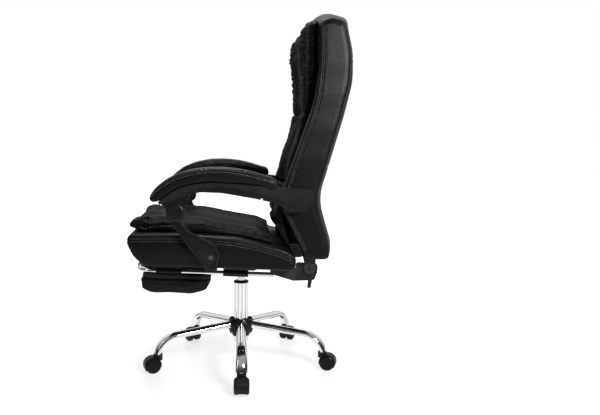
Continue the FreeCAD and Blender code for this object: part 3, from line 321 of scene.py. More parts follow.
LEATHER = leather_finish("black_leather", 0.15, 0.30)
PILLOW_LEATHER = leather_finish("pillow_leather", 0.07, 0.42)
PIPING = piping_finish()
THREAD = thread_finish()
FINISHES = {
    "black_leather": LEATHER,
    "chrome": plated_finish("chrome", 0.86, 0.035, 0.05),
    "black_plastic": moulded_finish("black_plastic", 0.005, 0.34, 0.00022),
    "gloss_plastic": moulded_finish("gloss_plastic", 0.007, 0.2, 0.0001),
    "black_steel": coated_steel_finish(),
    "steel": plated_finish("steel", 0.1, 0.42, 0.12, 0.2),
    "gas_chrome": plated_finish("gas_chrome", 0.8, 0.07, 0.05, 0.08),
    "brass": brass_finish(),
    "plywood": plywood_finish(),
    "wheel_plastic": wheel_finish(),
}


# Each node's material slot, from the record's subparts
NODE_SLOT = {row["node"]: row["material_slot"] for row in frame["record"]["subparts"]}
WRAPPED_BOARDS = ("seat_board", "back_board", "footrest_board")
LINING = lining_finish()

for node_name, node_object in frame["nodes"].items():
    finish = LINING if node_name in WRAPPED_BOARDS else FINISHES[NODE_SLOT[node_name]]
    if not node_object.material_slots:
        node_object.data.materials.append(finish)
    for slot in node_object.material_slots:
        slot.material = finish


# Meshes

def new_piece(name, mesh, material=None):
    made = bpy.data.objects.new(name, mesh)
    bpy.context.scene.collection.objects.link(made)
    if material is not None:
        mesh.materials.clear()
        mesh.materials.append(material)
    return made


def evaluated_mesh(source):
    bpy.context.view_layer.update()
    graph = bpy.context.evaluated_depsgraph_get()
    return bpy.data.meshes.new_from_object(source.evaluated_get(graph), depsgraph=graph)


def drop(source):
    bpy.data.objects.remove(source, do_unlink=True)


def points_of(mesh, value="co"):
    flat = np.empty(len(mesh.vertices) * 3)
    mesh.vertices.foreach_get(value, flat)
    return flat.reshape(-1, 3)


def normals_of(mesh):
    return points_of(mesh, "normal")


def set_points(mesh, points):
    mesh.vertices.foreach_set("co", np.asarray(points, np.float32).ravel())
    mesh.update()


def solid_copy(node):
    """A node's solid as a clean closed mesh of its own."""
    body = bmesh.new()
    body.from_mesh(frame["nodes"][node].data)
    bmesh.ops.remove_doubles(body, verts=body.verts, dist=1e-5)
    bmesh.ops.recalc_face_normals(body, faces=body.faces)
    mesh = bpy.data.meshes.new(node + "_form")
    body.to_mesh(mesh)
    body.free()
    return mesh


def modified(mesh, kind, **settings):
    """The mesh as one modifier leaves it."""
    holder = new_piece("holder", mesh)
    step = holder.modifiers.new("step", kind)
    for setting, choice in settings.items():
        setattr(step, setting, choice)
    made = evaluated_mesh(holder)
    drop(holder)
    return made


def remeshed(mesh, voxel):
    return modified(mesh, "REMESH", mode="VOXEL", voxel_size=voxel, use_smooth_shade=True)


def subdivided(mesh):
    return modified(mesh, "SUBSURF", levels=1, render_levels=1)


def smoothed(mesh, rounds):
    body = bmesh.new()
    body.from_mesh(mesh)
    for _ in range(rounds):
        bmesh.ops.smooth_vert(
            body, verts=body.verts, factor=0.5, use_axis_x=True, use_axis_y=True, use_axis_z=True
        )
    body.to_mesh(mesh)
    body.free()
    mesh.update()


AIR_FRAMES = 20
AIR_PRESSURE = 4.0


def inflated(mesh, hold, cap):
    """Swells a closed cloth form with air; hold is each point's grip from 0 to 1."""
    holder = new_piece("holder", mesh)
    grip = holder.vertex_groups.new(name="grip")
    for index, weight in enumerate(hold):
        if weight > 0.0:
            grip.add([index], float(weight), "REPLACE")
    cloth = holder.modifiers.new("air", "CLOTH")
    cloth.settings.vertex_group_mass = "grip"
    cloth.settings.use_pressure = True
    cloth.settings.uniform_pressure_force = AIR_PRESSURE
    cloth.settings.quality = 4
    cloth.settings.effector_weights.gravity = 0.0
    cloth.settings.tension_stiffness = 12.0
    cloth.settings.compression_stiffness = 12.0
    cloth.settings.bending_stiffness = 0.6
    cloth.collision_settings.use_collision = False
    cloth.point_cache.frame_start = 1
    cloth.point_cache.frame_end = AIR_FRAMES
    scene = bpy.context.scene
    for step in range(1, AIR_FRAMES + 1):
        scene.frame_set(step)
    swollen = evaluated_mesh(holder)
    before = points_of(mesh)
    move = points_of(swollen) - before
    length = np.linalg.norm(move, axis=1)
    share = np.minimum(1.0, cap / np.maximum(length, 1e-9))
    set_points(mesh, before + move * share[:, None])
    drop(holder)
    bpy.data.meshes.remove(swollen)
    scene.frame_set(1)
    return mesh


FAR_AWAY = 9.0


class Line:
    """A seam line as close points with the length run so far."""

    def __init__(self, corners, pitch=0.0015, smooth=True):
        corners = [Vector(c) for c in corners]
        if smooth and len(corners) > 2:
            corners = self.eased(corners)
        points = [corners[0]]
        for first, second in zip(corners, corners[1:]):
            run = (second - first).length
            steps = max(1, math.ceil(run / pitch))
            points += [first.lerp(second, k / steps) for k in range(1, steps + 1)]
        self.points = points
        self.length = np.concatenate(
            [[0.0], np.cumsum([(b - a).length for a, b in zip(points, points[1:])])]
        )
        self.tree = KDTree(len(points))
        for index, point in enumerate(points):
            self.tree.insert(point, index)
        self.tree.balance()

    @staticmethod
    def eased(corners, parts=8):
        """A smooth curve through the corners."""
        made = [corners[0]]
        for k in range(len(corners) - 1):
            a = corners[max(0, k - 1)]
            b, c = corners[k], corners[k + 1]
            d = corners[min(len(corners) - 1, k + 2)]
            for step in range(1, parts + 1):
                t = step / parts
                made.append(
                    0.5 * (2 * b + (c - a) * t + (2 * a - 5 * b + 4 * c - d) * t * t
                           + (3 * b - 3 * c + d - a) * t ** 3)
                )
        return made

    def measure(self, points, reach):
        """Distance to the line and length along it, for the points nearer than reach."""
        low = np.min([tuple(p) for p in self.points], axis=0) - reach
        high = np.max([tuple(p) for p in self.points], axis=0) + reach
        near = np.where(np.all((points > low) & (points < high), axis=1))[0]
        distance = np.full(len(points), FAR_AWAY)
        along = np.zeros(len(points))
        for index in near:
            _, nearest, gap = self.tree.find(points[index])
            distance[index] = gap
            along[index] = self.length[nearest]
        return distance, along


def groove(mesh, line, depth, width):
    """Presses a rounded channel into a mesh along a line."""
    points, normals = points_of(mesh), normals_of(mesh)
    distance, _ = line.measure(points, width * 3)
    drop_in = depth * np.exp(-((distance / width) ** 2))
    set_points(mesh, points - normals * drop_in[:, None])


def gathers(mesh, line, height, wave, reach, seed, start=0.0, end=1e9):
    """Puckers that run away from a seam line and die out within reach."""
    points, normals = points_of(mesh), normals_of(mesh)
    span = reach * 2.5
    distance, along = line.measure(points, span)
    lift = np.zeros(len(points))
    for index in np.where(distance < span)[0]:
        s, d = along[index], distance[index]
        wander = noise.noise(Vector((s / (wave * 2.6), seed, d / (reach * 1.4))))
        strength = 0.55 + 0.75 * noise.noise(Vector((s / (wave * 3.3), seed + 9.1, 0.0)))
        ridge = math.sin(2 * math.pi * (s / wave + 1.1 * wander))
        first_end = min(1.0, max(0.0, (s - start) / (wave * 2)))
        last_end = min(1.0, max(0.0, (end - s) / (wave * 2)))
        ends = first_end * last_end
        fading = math.exp(-((d / reach) ** 1.5))
        near_seam = min(1.0, d / (reach * 0.16))
        lift[index] = height * ridge * strength * ends * fading * near_seam
    set_points(mesh, points + normals * lift[:, None])


def creased(mesh, where, height, wave, axis_scale, seed):
    """Soft folds over a region; where gives each point's share."""
    points, normals = points_of(mesh), normals_of(mesh)
    lift = np.zeros(len(points))
    for index in np.where(where > 0.01)[0]:
        x, y, z = points[index] * axis_scale / wave
        fold = 1.0 - abs(2.0 * noise.noise(Vector((x, y, z + seed))))
        fine = noise.noise(Vector((x * 2.3, y * 2.3, z * 2.3 + seed + 5.0)))
        lift[index] = where[index] * height * (fold ** 3 - 0.35 + 0.35 * fine)
    set_points(mesh, points + normals * lift[:, None])


def step_up(value, low, high):
    share = np.clip((value - low) / (high - low), 0.0, 1.0)
    return share * share * (3 - 2 * share)


ROW_PITCH = 0.003
CAST_BACK = 0.25


def laid_on(mesh, corners, sight, proud=0.0):
    """Lays a line on a mesh: each point is sent along sight onto the surface."""
    tree = mesh_tree(mesh)
    sight = Vector(sight).normalized()
    made = []
    for point in Line(corners, ROW_PITCH).points:
        hit, normal, _, _ = tree.ray_cast(point - sight * CAST_BACK, sight)
        if hit is None:
            hit, normal, _, _ = tree.find_nearest(point)
        made.append(hit + normal * proud)
    return made


def rows_on(mesh, rows, proud):
    """Lays rows on a mesh; each is given with its sight."""
    return [laid_on(mesh, row, sight, proud) for row, sight in rows]


def mesh_tree(mesh):
    body = bmesh.new()
    body.from_mesh(mesh)
    made = BVHTree.FromBMesh(body)
    body.free()
    return made


# Stitches and piping

def stitch_tree():
    """Geometry Nodes: short threads along every line, a pitch apart."""
    tree = bpy.data.node_groups.new("stitch_row", "GeometryNodeTree")
    tree.is_modifier = True
    for name, kind in (
        ("Line", "NodeSocketGeometry"), ("Pitch", "NodeSocketFloat"),
        ("Stitch Length", "NodeSocketFloat"), ("Thread Radius", "NodeSocketFloat"),
        ("Finish", "NodeSocketMaterial"),
    ):
        tree.interface.new_socket(name, in_out="INPUT", socket_type=kind)
    tree.interface.new_socket("Stitches", in_out="OUTPUT", socket_type="NodeSocketGeometry")
    add = tree.nodes.new
    link = tree.links.new
    given, result = add("NodeGroupInput"), add("NodeGroupOutput")
    spaced = add("GeometryNodeResampleCurve")
    spaced.mode = "LENGTH"
    bead = add("GeometryNodeMeshUVSphere")
    bead.inputs["Segments"].default_value = 6
    bead.inputs["Rings"].default_value = 4
    bead.inputs["Radius"].default_value = 1.0
    size = add("ShaderNodeCombineXYZ")
    shaped = add("GeometryNodeTransform")
    tangent = add("GeometryNodeInputTangent")
    turned = add("FunctionNodeAlignRotationToVector")
    turned.axis = "X"
    placed = add("GeometryNodeInstanceOnPoints")
    real = add("GeometryNodeRealizeInstances")
    finished = add("GeometryNodeSetMaterial")
    link(given.outputs["Line"], spaced.inputs["Curve"])
    link(given.outputs["Pitch"], spaced.inputs["Length"])
    link(given.outputs["Stitch Length"], size.inputs["X"])
    link(given.outputs["Thread Radius"], size.inputs["Y"])
    link(given.outputs["Thread Radius"], size.inputs["Z"])
    link(bead.outputs["Mesh"], shaped.inputs["Geometry"])
    link(size.outputs[0], shaped.inputs["Scale"])
    link(tangent.outputs[0], turned.inputs["Vector"])
    link(spaced.outputs["Curve"], placed.inputs["Points"])
    link(shaped.outputs["Geometry"], placed.inputs["Instance"])
    link(turned.outputs["Rotation"], placed.inputs["Rotation"])
    link(placed.outputs["Instances"], real.inputs["Geometry"])
    link(real.outputs["Geometry"], finished.inputs["Geometry"])
    link(given.outputs["Finish"], finished.inputs["Material"])
    link(finished.outputs["Geometry"], result.inputs["Stitches"])
    return tree


STITCH_TREE = stitch_tree()


def line_curve(name, lines):
    data = bpy.data.curves.new(name, "CURVE")
    data.dimensions = "3D"
    for points in lines:
        spline = data.splines.new("POLY")
        spline.points.add(len(points) - 1)
        for place, point in zip(spline.points, points):
            place.co = (*point, 1.0)
    return data


def set_input(step, name, value):
    for item in step.node_group.interface.items_tree:
        if item.name == name and item.in_out == "INPUT":
            step[item.identifier] = value


def stitches(name, body, lines, pitch=0.0044, length=0.0017, radius=0.0007):
    """Rows of stitches along lines that already lie on the cover."""
    holder = new_piece("rows", line_curve("rows", lines))
    step = holder.modifiers.new("stitches", "NODES")
    step.node_group = STITCH_TREE
    set_input(step, "Pitch", pitch)
    set_input(step, "Stitch Length", length)
    set_input(step, "Thread Radius", radius)
    set_input(step, "Finish", THREAD)
    mesh = evaluated_mesh(holder)
    drop(holder)
    made = new_piece(name, mesh, THREAD)
    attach(made, body)


def piping(name, body, lines, radius):
    """Leather-covered cord sewn along lines on the cover."""
    data = line_curve(name, lines)
    data.bevel_depth = radius
    data.bevel_resolution = 3
    data.use_fill_caps = True
    holder = new_piece("cord_form", data)
    mesh = evaluated_mesh(holder)
    drop(holder)
    made = new_piece(name, mesh, PIPING)
    for face in mesh.polygons:
        face.use_smooth = True
    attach(made, body)


def cushion(name, node, body, mesh):
    """Finishes a soft piece that stands for a node."""
    for face in mesh.polygons:
        face.use_smooth = True
    made = new_piece(name, mesh, PILLOW_LEATHER if node.endswith("_pillow") else LEATHER)
    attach(made, body)
    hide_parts(node)


def shrunk(mesh, amount, free):
    """Moves the free points inwards; free is each point's share."""
    points, normals = points_of(mesh), normals_of(mesh)
    set_points(mesh, points - normals * (amount * free)[:, None])


# Camera, stage and lights

def photo_camera():
    """The photo's camera: its turn, place and lens were fitted by least squares."""
    pitch, yaw, roll = 0.1114, 0.0939, 0.0146
    place = (-0.0202, -2.3414, 0.8037)
    ahead = Vector((
        math.sin(yaw) * math.cos(pitch), math.cos(yaw) * math.cos(pitch), -math.sin(pitch)
    ))
    level = Vector((math.cos(yaw), -math.sin(yaw), 0.0))
    rise = level.cross(ahead)
    across = level * math.cos(roll) + rise * math.sin(roll)
    up = rise * math.cos(roll) - level * math.sin(roll)
    data = bpy.data.cameras.new("photo_camera")
    data.sensor_width = 36.0
    data.lens = 41.283
    data.clip_end = 50.0
    camera = new_piece("photo_camera", data)
    turn = Matrix((across, up, -ahead)).transposed().to_4x4()
    camera.matrix_world = Matrix.Translation(place) @ turn
    bpy.context.scene.camera = camera


def soft_light(name, place, aim, width, height, watts):
    data = bpy.data.lights.new(name, "AREA")
    data.shape = "RECTANGLE"
    data.size = width
    data.size_y = height
    data.energy = watts
    light = new_piece(name, data)
    light.location = place
    light.rotation_mode = "QUATERNION"
    light.rotation_quaternion = (Vector(aim) - Vector(place)).to_track_quat("-Z", "Y")


def room_light():
    """A room bright behind and above the chair and dim in front; the camera sees plain white."""
    world = bpy.data.worlds.new("studio")
    bpy.context.scene.world = world
    world.use_nodes = True
    nodes, links = world.node_tree.nodes, world.node_tree.links
    nodes.clear()
    direction, parts = nodes.new("ShaderNodeTexCoord"), nodes.new("ShaderNodeSeparateXYZ")
    links.new(direction.outputs["Generated"], parts.inputs[0])

    def ramp(axis, low, high, dim, bright, shape="SMOOTHSTEP"):
        """Light by direction: dim up to low and bright from high on."""
        made = nodes.new("ShaderNodeMapRange")
        made.interpolation_type = shape
        for socket, setting in (
            ("From Min", low), ("From Max", high), ("To Min", dim), ("To Max", bright)
        ):
            made.inputs[socket].default_value = setting
        links.new(parts.outputs[axis], made.inputs["Value"])
        return made.outputs[0]

    def joined(operation, first, second):
        made = nodes.new("ShaderNodeMath")
        made.operation = operation
        links.new(first, made.inputs[0])
        links.new(second, made.inputs[1])
        return made.outputs[0]

    rear = ramp("Y", low=0.05, high=0.6, dim=0.04, bright=0.8)
    ceiling = ramp("Z", low=0.35, high=0.7, dim=0.04, bright=0.36)
    # Near the horizon the rear wall gives a quarter of its light.
    horizon = ramp("Z", low=0.08, high=0.26, dim=0.25, bright=1.0, shape="LINEAR")
    level = joined("MAXIMUM", joined("MULTIPLY", rear, horizon), ceiling)
    room, seen = nodes.new("ShaderNodeBackground"), nodes.new("ShaderNodeBackground")
    for light in (room, seen):
        light.inputs["Color"].default_value = grey(1.0)
    links.new(level, room.inputs["Strength"])
    path, blend = nodes.new("ShaderNodeLightPath"), nodes.new("ShaderNodeMixShader")
    out = nodes.new("ShaderNodeOutputWorld")
    links.new(path.outputs["Is Camera Ray"], blend.inputs[0])
    links.new(room.outputs[0], blend.inputs[1])
    links.new(seen.outputs[0], blend.inputs[2])
    links.new(blend.outputs[0], out.inputs[0])


def stage():
    """The floor, the room and three lamps."""
    body = bmesh.new()
    bmesh.ops.create_grid(body, x_segments=24, y_segments=24, size=9.0)
    mesh = bpy.data.meshes.new("floor")
    body.to_mesh(mesh)
    body.free()
    floor = new_piece("floor", mesh, floor_finish())
    room_light()
    bpy.context.scene.view_settings.view_transform = "Standard"
    soft_light(
        "overhead", place=(-0.1, 0.2, 2.5), aim=(0.0, 0.0, 0.6), width=0.7, height=0.7, watts=30.0
    )
    soft_light(
        "panel_light", place=(0.93, -1.7, 1.28), aim=(0.3, -0.25, 0.98),
        width=0.5, height=0.42, watts=36.0,
    )
    soft_light(
        "left_strip", place=(-1.9, -1.0, 1.3), aim=(-0.1, -0.1, 0.6),
        width=0.3, height=1.4, watts=2.5,
    )


photo_camera()
stage()


# Soft pieces. SIDES holds the sign of Y for the sitter's left and right.

SIDES = {"left": -1, "right": 1}
SEAT_HEIGHT = 0.377
SEAT_TURN = math.radians(2.2)

# Rows start beside, behind, in front of or above a cover and are sent onto it along a sight.
OUTSIDE, BEHIND, IN_FRONT, ABOVE = 0.3, 0.5, -0.1, 0.6
REARWARD, FORWARD, DOWNWARD = (1, 0, 0), (-1, 0, 0), (0, 0, -1)
STITCH_PROUD = 0.0002


def inward(sign):
    """The sight from one side of the chair to its middle."""
    return (0, -sign, 0)


def seat_point(x, y, z):
    """A point of the pitched seat frame, given in metres, in the object's frame."""
    return Vector((
        x * math.cos(SEAT_TURN) + z * math.sin(SEAT_TURN), y,
        SEAT_HEIGHT - x * math.sin(SEAT_TURN) + z * math.cos(SEAT_TURN),
    ))


def above_seat(points):
    """Heights of points over the pitched seat frame."""
    return points[:, 2] - SEAT_HEIGHT + points[:, 0] * math.sin(SEAT_TURN)


def tidy_form(node, voxel, rounds=2):
    mesh = remeshed(solid_copy(node), voxel)
    smoothed(mesh, rounds)
    return mesh


def refit(mesh, node, share):
    """Brings a smoothed form back towards the faces of its solid."""
    tree = mesh_tree(solid_copy(node))
    points = points_of(mesh)
    for index, point in enumerate(points):
        hit, _, _, _ = tree.find_nearest(Vector(point))
        points[index] = point + (np.array(hit) - point) * share
    set_points(mesh, points)


def seam_line(mesh, corners, sight):
    """A seam: its points on the mesh, sent along sight, as a measured line."""
    return Line(laid_on(mesh, corners, sight), smooth=False)


def on_side(corners, sign, reach=OUTSIDE):
    return [(x, sign * reach, z) for x, z in corners]


def offset_line(corners, distance):
    """The same side line moved sideways, to its right as it runs."""
    made = []
    for k, (x, z) in enumerate(corners):
        before, after = corners[max(0, k - 1)], corners[min(len(corners) - 1, k + 1)]
        run = Vector((after[0] - before[0], after[1] - before[1]))
        run.normalize()
        made.append((x + run.y * distance, z - run.x * distance))
    return made


# Lines on the backrest's sides, as (x, z), from its foot up
PANEL_FRONT = [
    (0.186, 0.43), (0.148, 0.508), (0.118, 0.575), (0.136, 0.645), (0.172, 0.76), (0.214, 0.88),
    (0.229, 1.0), (0.230, 1.115),
]
PANEL_REAR = [
    (0.266, 0.41), (0.264, 0.452), (0.240, 0.535), (0.223, 0.6), (0.243, 0.66), (0.268, 0.75),
    (0.297, 0.855), (0.317, 0.95), (0.321, 1.02), (0.317, 1.075), (0.305, 1.118), (0.288, 1.133),
    (0.264, 1.138), (0.244, 1.132), (0.233, 1.12),
]


def backrest_shell():
    """Side box: flat front returns, slightly full side panels, piped along the rear and the top."""
    mesh = tidy_form("back_cushion", voxel=0.0045)
    refit(mesh, "back_cushion", share=0.8)
    side_fullness, ripple, rear_fullness = 0.0035, 0.0009, 0.004
    points, normals = points_of(mesh), normals_of(mesh)
    across, height = np.abs(points[:, 1]), points[:, 2]
    side = step_up(across, 0.244, 0.249)
    full = step_up(height, 0.46, 0.62) * (1 - step_up(height, 1.0, 1.13))
    wave = np.sin(height * 41.0) * np.sin(height * 23.0 + 1.2)
    points = points + normals * (side * (side_fullness * full + ripple * wave))[:, None]
    rear = step_up(normals[:, 0], 0.6, 0.95) * (1 - step_up(across, 0.19, 0.24))
    points = points + normals * (rear * rear_fullness * full)[:, None]
    set_points(mesh, points)
    rows, cords = [], []
    for sign in SIDES.values():
        corners = on_side(offset_line(PANEL_FRONT, 0.0115), sign)
        seam = seam_line(mesh, corners, inward(sign))
        groove(mesh, seam, depth=0.0016, width=0.004)
        gathers(mesh, seam, height=0.0007, wave=0.021, reach=0.012, seed=3.0 + sign)
        for inset in (0.0085, 0.0145):
            rows.append((on_side(offset_line(PANEL_FRONT, inset), sign), inward(sign)))
        cords.append([(x, sign * 0.2462, z) for x, z in PANEL_REAR])
        rear_seam = Line(on_side(offset_line(PANEL_REAR, -0.007), sign, 0.25))
        groove(mesh, rear_seam, depth=0.0014, width=0.003)
    for seam_height in (0.69, 1.03):
        corners = [(BEHIND, y, seam_height) for y in (-0.236, -0.1, 0.1, 0.236)]
        groove(mesh, seam_line(mesh, corners, FORWARD), depth=0.002, width=0.0035)
        for lift in (-0.006, 0.006):
            row = [(BEHIND, y, seam_height + lift) for y in (-0.232, -0.1, 0.1, 0.232)]
            rows.append((row, FORWARD))
    cushion("backrest_shell", "back_cushion", "backrest", mesh)
    stitches("backrest_stitches", "backrest", rows_on(mesh, rows, STITCH_PROUD))
    tree = mesh_tree(mesh)
    cords = [snapped(tree, cord, proud=0.0012) for cord in cords]
    piping("backrest_piping", "backrest", cords, radius=0.0028)


CORD_PITCH = 0.004


def snapped(tree, corners, proud):
    """A smooth line brought onto the nearest point of a surface."""
    found = [tree.find_nearest(point) for point in Line(corners, CORD_PITCH).points]
    return [hit + normal * proud for hit, normal, _, _ in found]


def swollen_form(node, voxel, hold, shrink, cap):
    """A cloth form that starts a little slack, is blown up to its cap and made finer."""
    mesh = tidy_form(node, voxel)
    grip = hold(points_of(mesh))
    shrunk(mesh, shrink, 1 - grip)
    return subdivided(inflated(mesh, grip, cap))


# The back board's front side: X at these heights
BOARD_HEIGHTS = [0.404, 0.44, 0.47, 0.52, 0.58, 0.655, 0.735, 0.8, 0.88, 1.0, 1.1]
BOARD_FRONT = [0.19, 0.183, 0.175, 0.163, 0.161, 0.17, 0.19, 0.208, 0.222, 0.232, 0.233]


def board_side(points):
    """Grip of a backrest pillow: full at its board, none at its front."""
    board = np.interp(points[:, 2], BOARD_HEIGHTS, BOARD_FRONT)
    sides = step_up(np.abs(points[:, 1]), 0.212, 0.217) * 0.6
    return np.maximum(1 - step_up(board - points[:, 0], 0.004, 0.018), sides)


def tucked(mesh, board_gap=0.026, inset=0.016):
    """Draws a pillow's sides in behind its front, which leaves a dark slit along the box."""
    points = points_of(mesh)
    gap = np.interp(points[:, 2], BOARD_HEIGHTS, BOARD_FRONT) - points[:, 0]
    near_board = 1 - step_up(gap, board_gap * 0.7, board_gap * 1.5)
    share = near_board * step_up(np.abs(points[:, 1]), 0.15, 0.21)
    points[:, 1] -= np.sign(points[:, 1]) * inset * share
    set_points(mesh, points)


# Where the wings' seams lie across the backrest, and where the head's ruching ends
WING_CREST = 0.166
WING_VALLEY = 0.1
HEAD_SEAM_TOP = 1.115


def upright(y, heights):
    """A row up the backrest's front."""
    return [(IN_FRONT, y, z) for z in heights]


def pillow_details(mesh, low, high, seed, strength):
    """Crest seams along both wings, ruched, and puckers at the section's ends."""
    rows = []
    heights = np.linspace(low + 0.012, high - 0.012, 8)
    for sign in SIDES.values():
        crest = seam_line(mesh, upright(sign * WING_CREST, heights), REARWARD)
        gathers(mesh, crest, height=0.0030 * strength, wave=0.017, reach=0.026, seed=seed + sign)
        groove(mesh, crest, depth=0.0010, width=0.0028)
        valley = seam_line(mesh, upright(sign * WING_VALLEY, heights), REARWARD)
        groove(mesh, valley, depth=0.0016 * strength, width=0.005)
        gathers(
            mesh, valley, height=0.0012 * strength, wave=0.015, reach=0.02, seed=seed + 8 + sign
        )
        rows.append(upright(sign * (WING_CREST - 0.006), heights))
        rows.append(upright(sign * (WING_VALLEY + 0.005), heights))
    for height, inset in ((low, 0.008), (high, -0.008)):
        corners = [(IN_FRONT, y, height + inset) for y in np.linspace(-0.2, 0.2, 9)]
        border = seam_line(mesh, corners, REARWARD)
        gathers(
            mesh, border, height=0.0014 * strength, wave=0.014, reach=0.02,
            seed=seed + 12 + height,
        )
    return rows


def meeting_shift(part, height):
    """How far a section's ends move up to meet its neighbours where the photo shows it."""
    if part == "head":
        return -0.009 * (1 - step_up(height, 0.862, 0.885))
    if part == "mid":
        foot = 0.003 * (1 - step_up(height, 0.628, 0.64))
        return 0.009 * step_up(height, 0.83, 0.852) - foot
    return 0.004 * step_up(height, 0.6, 0.617)


def back_pillow(part, seed, strength, folds):
    """One section of the backrest's pillow top; gives its rows of stitches."""
    mesh = swollen_form(
        part + "_pillow", voxel=0.005, hold=board_side, shrink=0.003, cap=0.008
    )
    tucked(mesh)
    points = points_of(mesh)
    points[:, 2] += meeting_shift(part, points[:, 2])
    set_points(mesh, points)
    low, high = (corner.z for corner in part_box(part + "_pillow"))
    if part == "head":
        high = HEAD_SEAM_TOP
    rows = pillow_details(mesh, low, high, seed, strength)
    folds(mesh)
    cushion(part + "_pad", part + "_pillow", "backrest", mesh)
    return [laid_on(mesh, row, REARWARD, STITCH_PROUD) for row in rows]


def head_folds(mesh):
    points = points_of(mesh)
    height, across = points[:, 2], np.abs(points[:, 1])
    wings = step_up(across, 0.11, 0.16) * step_up(height, 0.9, 0.96)
    wings = wings * (1 - step_up(height, 1.09, 1.13))
    creased(mesh, wings, height=0.0038, wave=0.021, axis_scale=(1.0, 0.5, 1.6), seed=11.0)
    top_band = 0.6 * step_up(height, 1.03, 1.1)
    low_band = step_up(height, 0.89, 0.93) * (1 - step_up(height, 0.96, 1.0))
    middle = (1 - step_up(across, 0.08, 0.13)) * (top_band + low_band)
    creased(mesh, middle, height=0.0030, wave=0.024, axis_scale=(1.0, 0.7, 1.4), seed=12.0)


def mid_folds(mesh):
    height = points_of(mesh)[:, 2]
    ends = step_up(height, 0.78, 0.85) + 1 - step_up(height, 0.63, 0.69)
    where = ends * 0.8 + 0.15
    creased(mesh, where, height=0.0018, wave=0.03, axis_scale=(1.0, 0.6, 1.3), seed=21.0)


def lumbar_folds(mesh):
    corners = [(IN_FRONT, y, 0.513) for y in np.linspace(-0.205, 0.205, 9)]
    line = seam_line(mesh, corners, REARWARD)
    groove(mesh, line, depth=0.0025, width=0.006)
    gathers(mesh, line, height=0.0009, wave=0.022, reach=0.02, seed=31.0)
    low = 1 - step_up(points_of(mesh)[:, 2], 0.56, 0.62)
    creased(mesh, low, height=0.0009, wave=0.04, axis_scale=(1.0, 0.7, 1.2), seed=32.0)


def back_pillows():
    rows = back_pillow("head", seed=1.0, strength=1.0, folds=head_folds)
    rows += back_pillow("mid", seed=2.0, strength=0.5, folds=mid_folds)
    rows += back_pillow("lumbar", seed=3.0, strength=0.3, folds=lumbar_folds)
    stitches("pillow_stitches", "backrest", rows)


# The seat box's side lines in the seat's frame, as (x, z): its top edge and its front
SEAT_TOP = [(-0.338, 0.094), (-0.2, 0.099), (-0.02, 0.093), (0.118, 0.064), (0.152, 0.046)]
SEAT_NOSE = [(-0.336, 0.088), (-0.341, 0.07), (-0.322, 0.034), (-0.298, 0.008)]


def seat_box():
    """Seat box with two stitched rows under its top edge; gives its rows of stitches."""
    mesh = subdivided(tidy_form("seat_base_cushion", voxel=0.006, rounds=1))
    refit(mesh, "seat_base_cushion", share=0.9)
    fullness = 0.003
    points, normals = points_of(mesh), normals_of(mesh)
    side = step_up(np.abs(points[:, 1]), 0.25, 0.259)
    low = step_up(points[:, 2], 0.39, 0.43) * (1 - step_up(points[:, 2], 0.44, 0.48))
    set_points(mesh, points + normals * (fullness * side * low)[:, None])
    rows = []
    for sign in SIDES.values():
        for below in (0.012, 0.020):
            corners = [seat_point(x, sign * OUTSIDE, z - below) for x, z in SEAT_TOP]
            groove(mesh, seam_line(mesh, corners, inward(sign)), depth=0.0012, width=0.0028)
            rows.append((corners, inward(sign)))
        edge = Line([seat_point(x, sign * 0.2565, z) for x, z in SEAT_TOP])
        gathers(mesh, edge, height=0.0012, wave=0.013, reach=0.014, seed=41.0 + sign, end=0.16)
        front = [seat_point(x, sign * OUTSIDE, z) for x, z in SEAT_NOSE]
        nose = seam_line(mesh, front, inward(sign))
        groove(mesh, nose, depth=0.0016, width=0.0035)
        gathers(mesh, nose, height=0.0016, wave=0.014, reach=0.016, seed=43.0 + sign)
    cushion("seat_box_pad", "seat_base_cushion", "seat", mesh)
    return rows_on(mesh, rows, STITCH_PROUD)


def seat_grip(points):
    """Grip of the seat's pillow: full on the box, none on its top and its front roll."""
    under = np.interp(points[:, 0], [-0.342, -0.2, -0.02, 0.1], [0.097, 0.104, 0.098, 0.074])
    low = 1 - step_up(above_seat(points) - under, 0.003, 0.012)
    return low * step_up(points[:, 0], -0.33, -0.3)


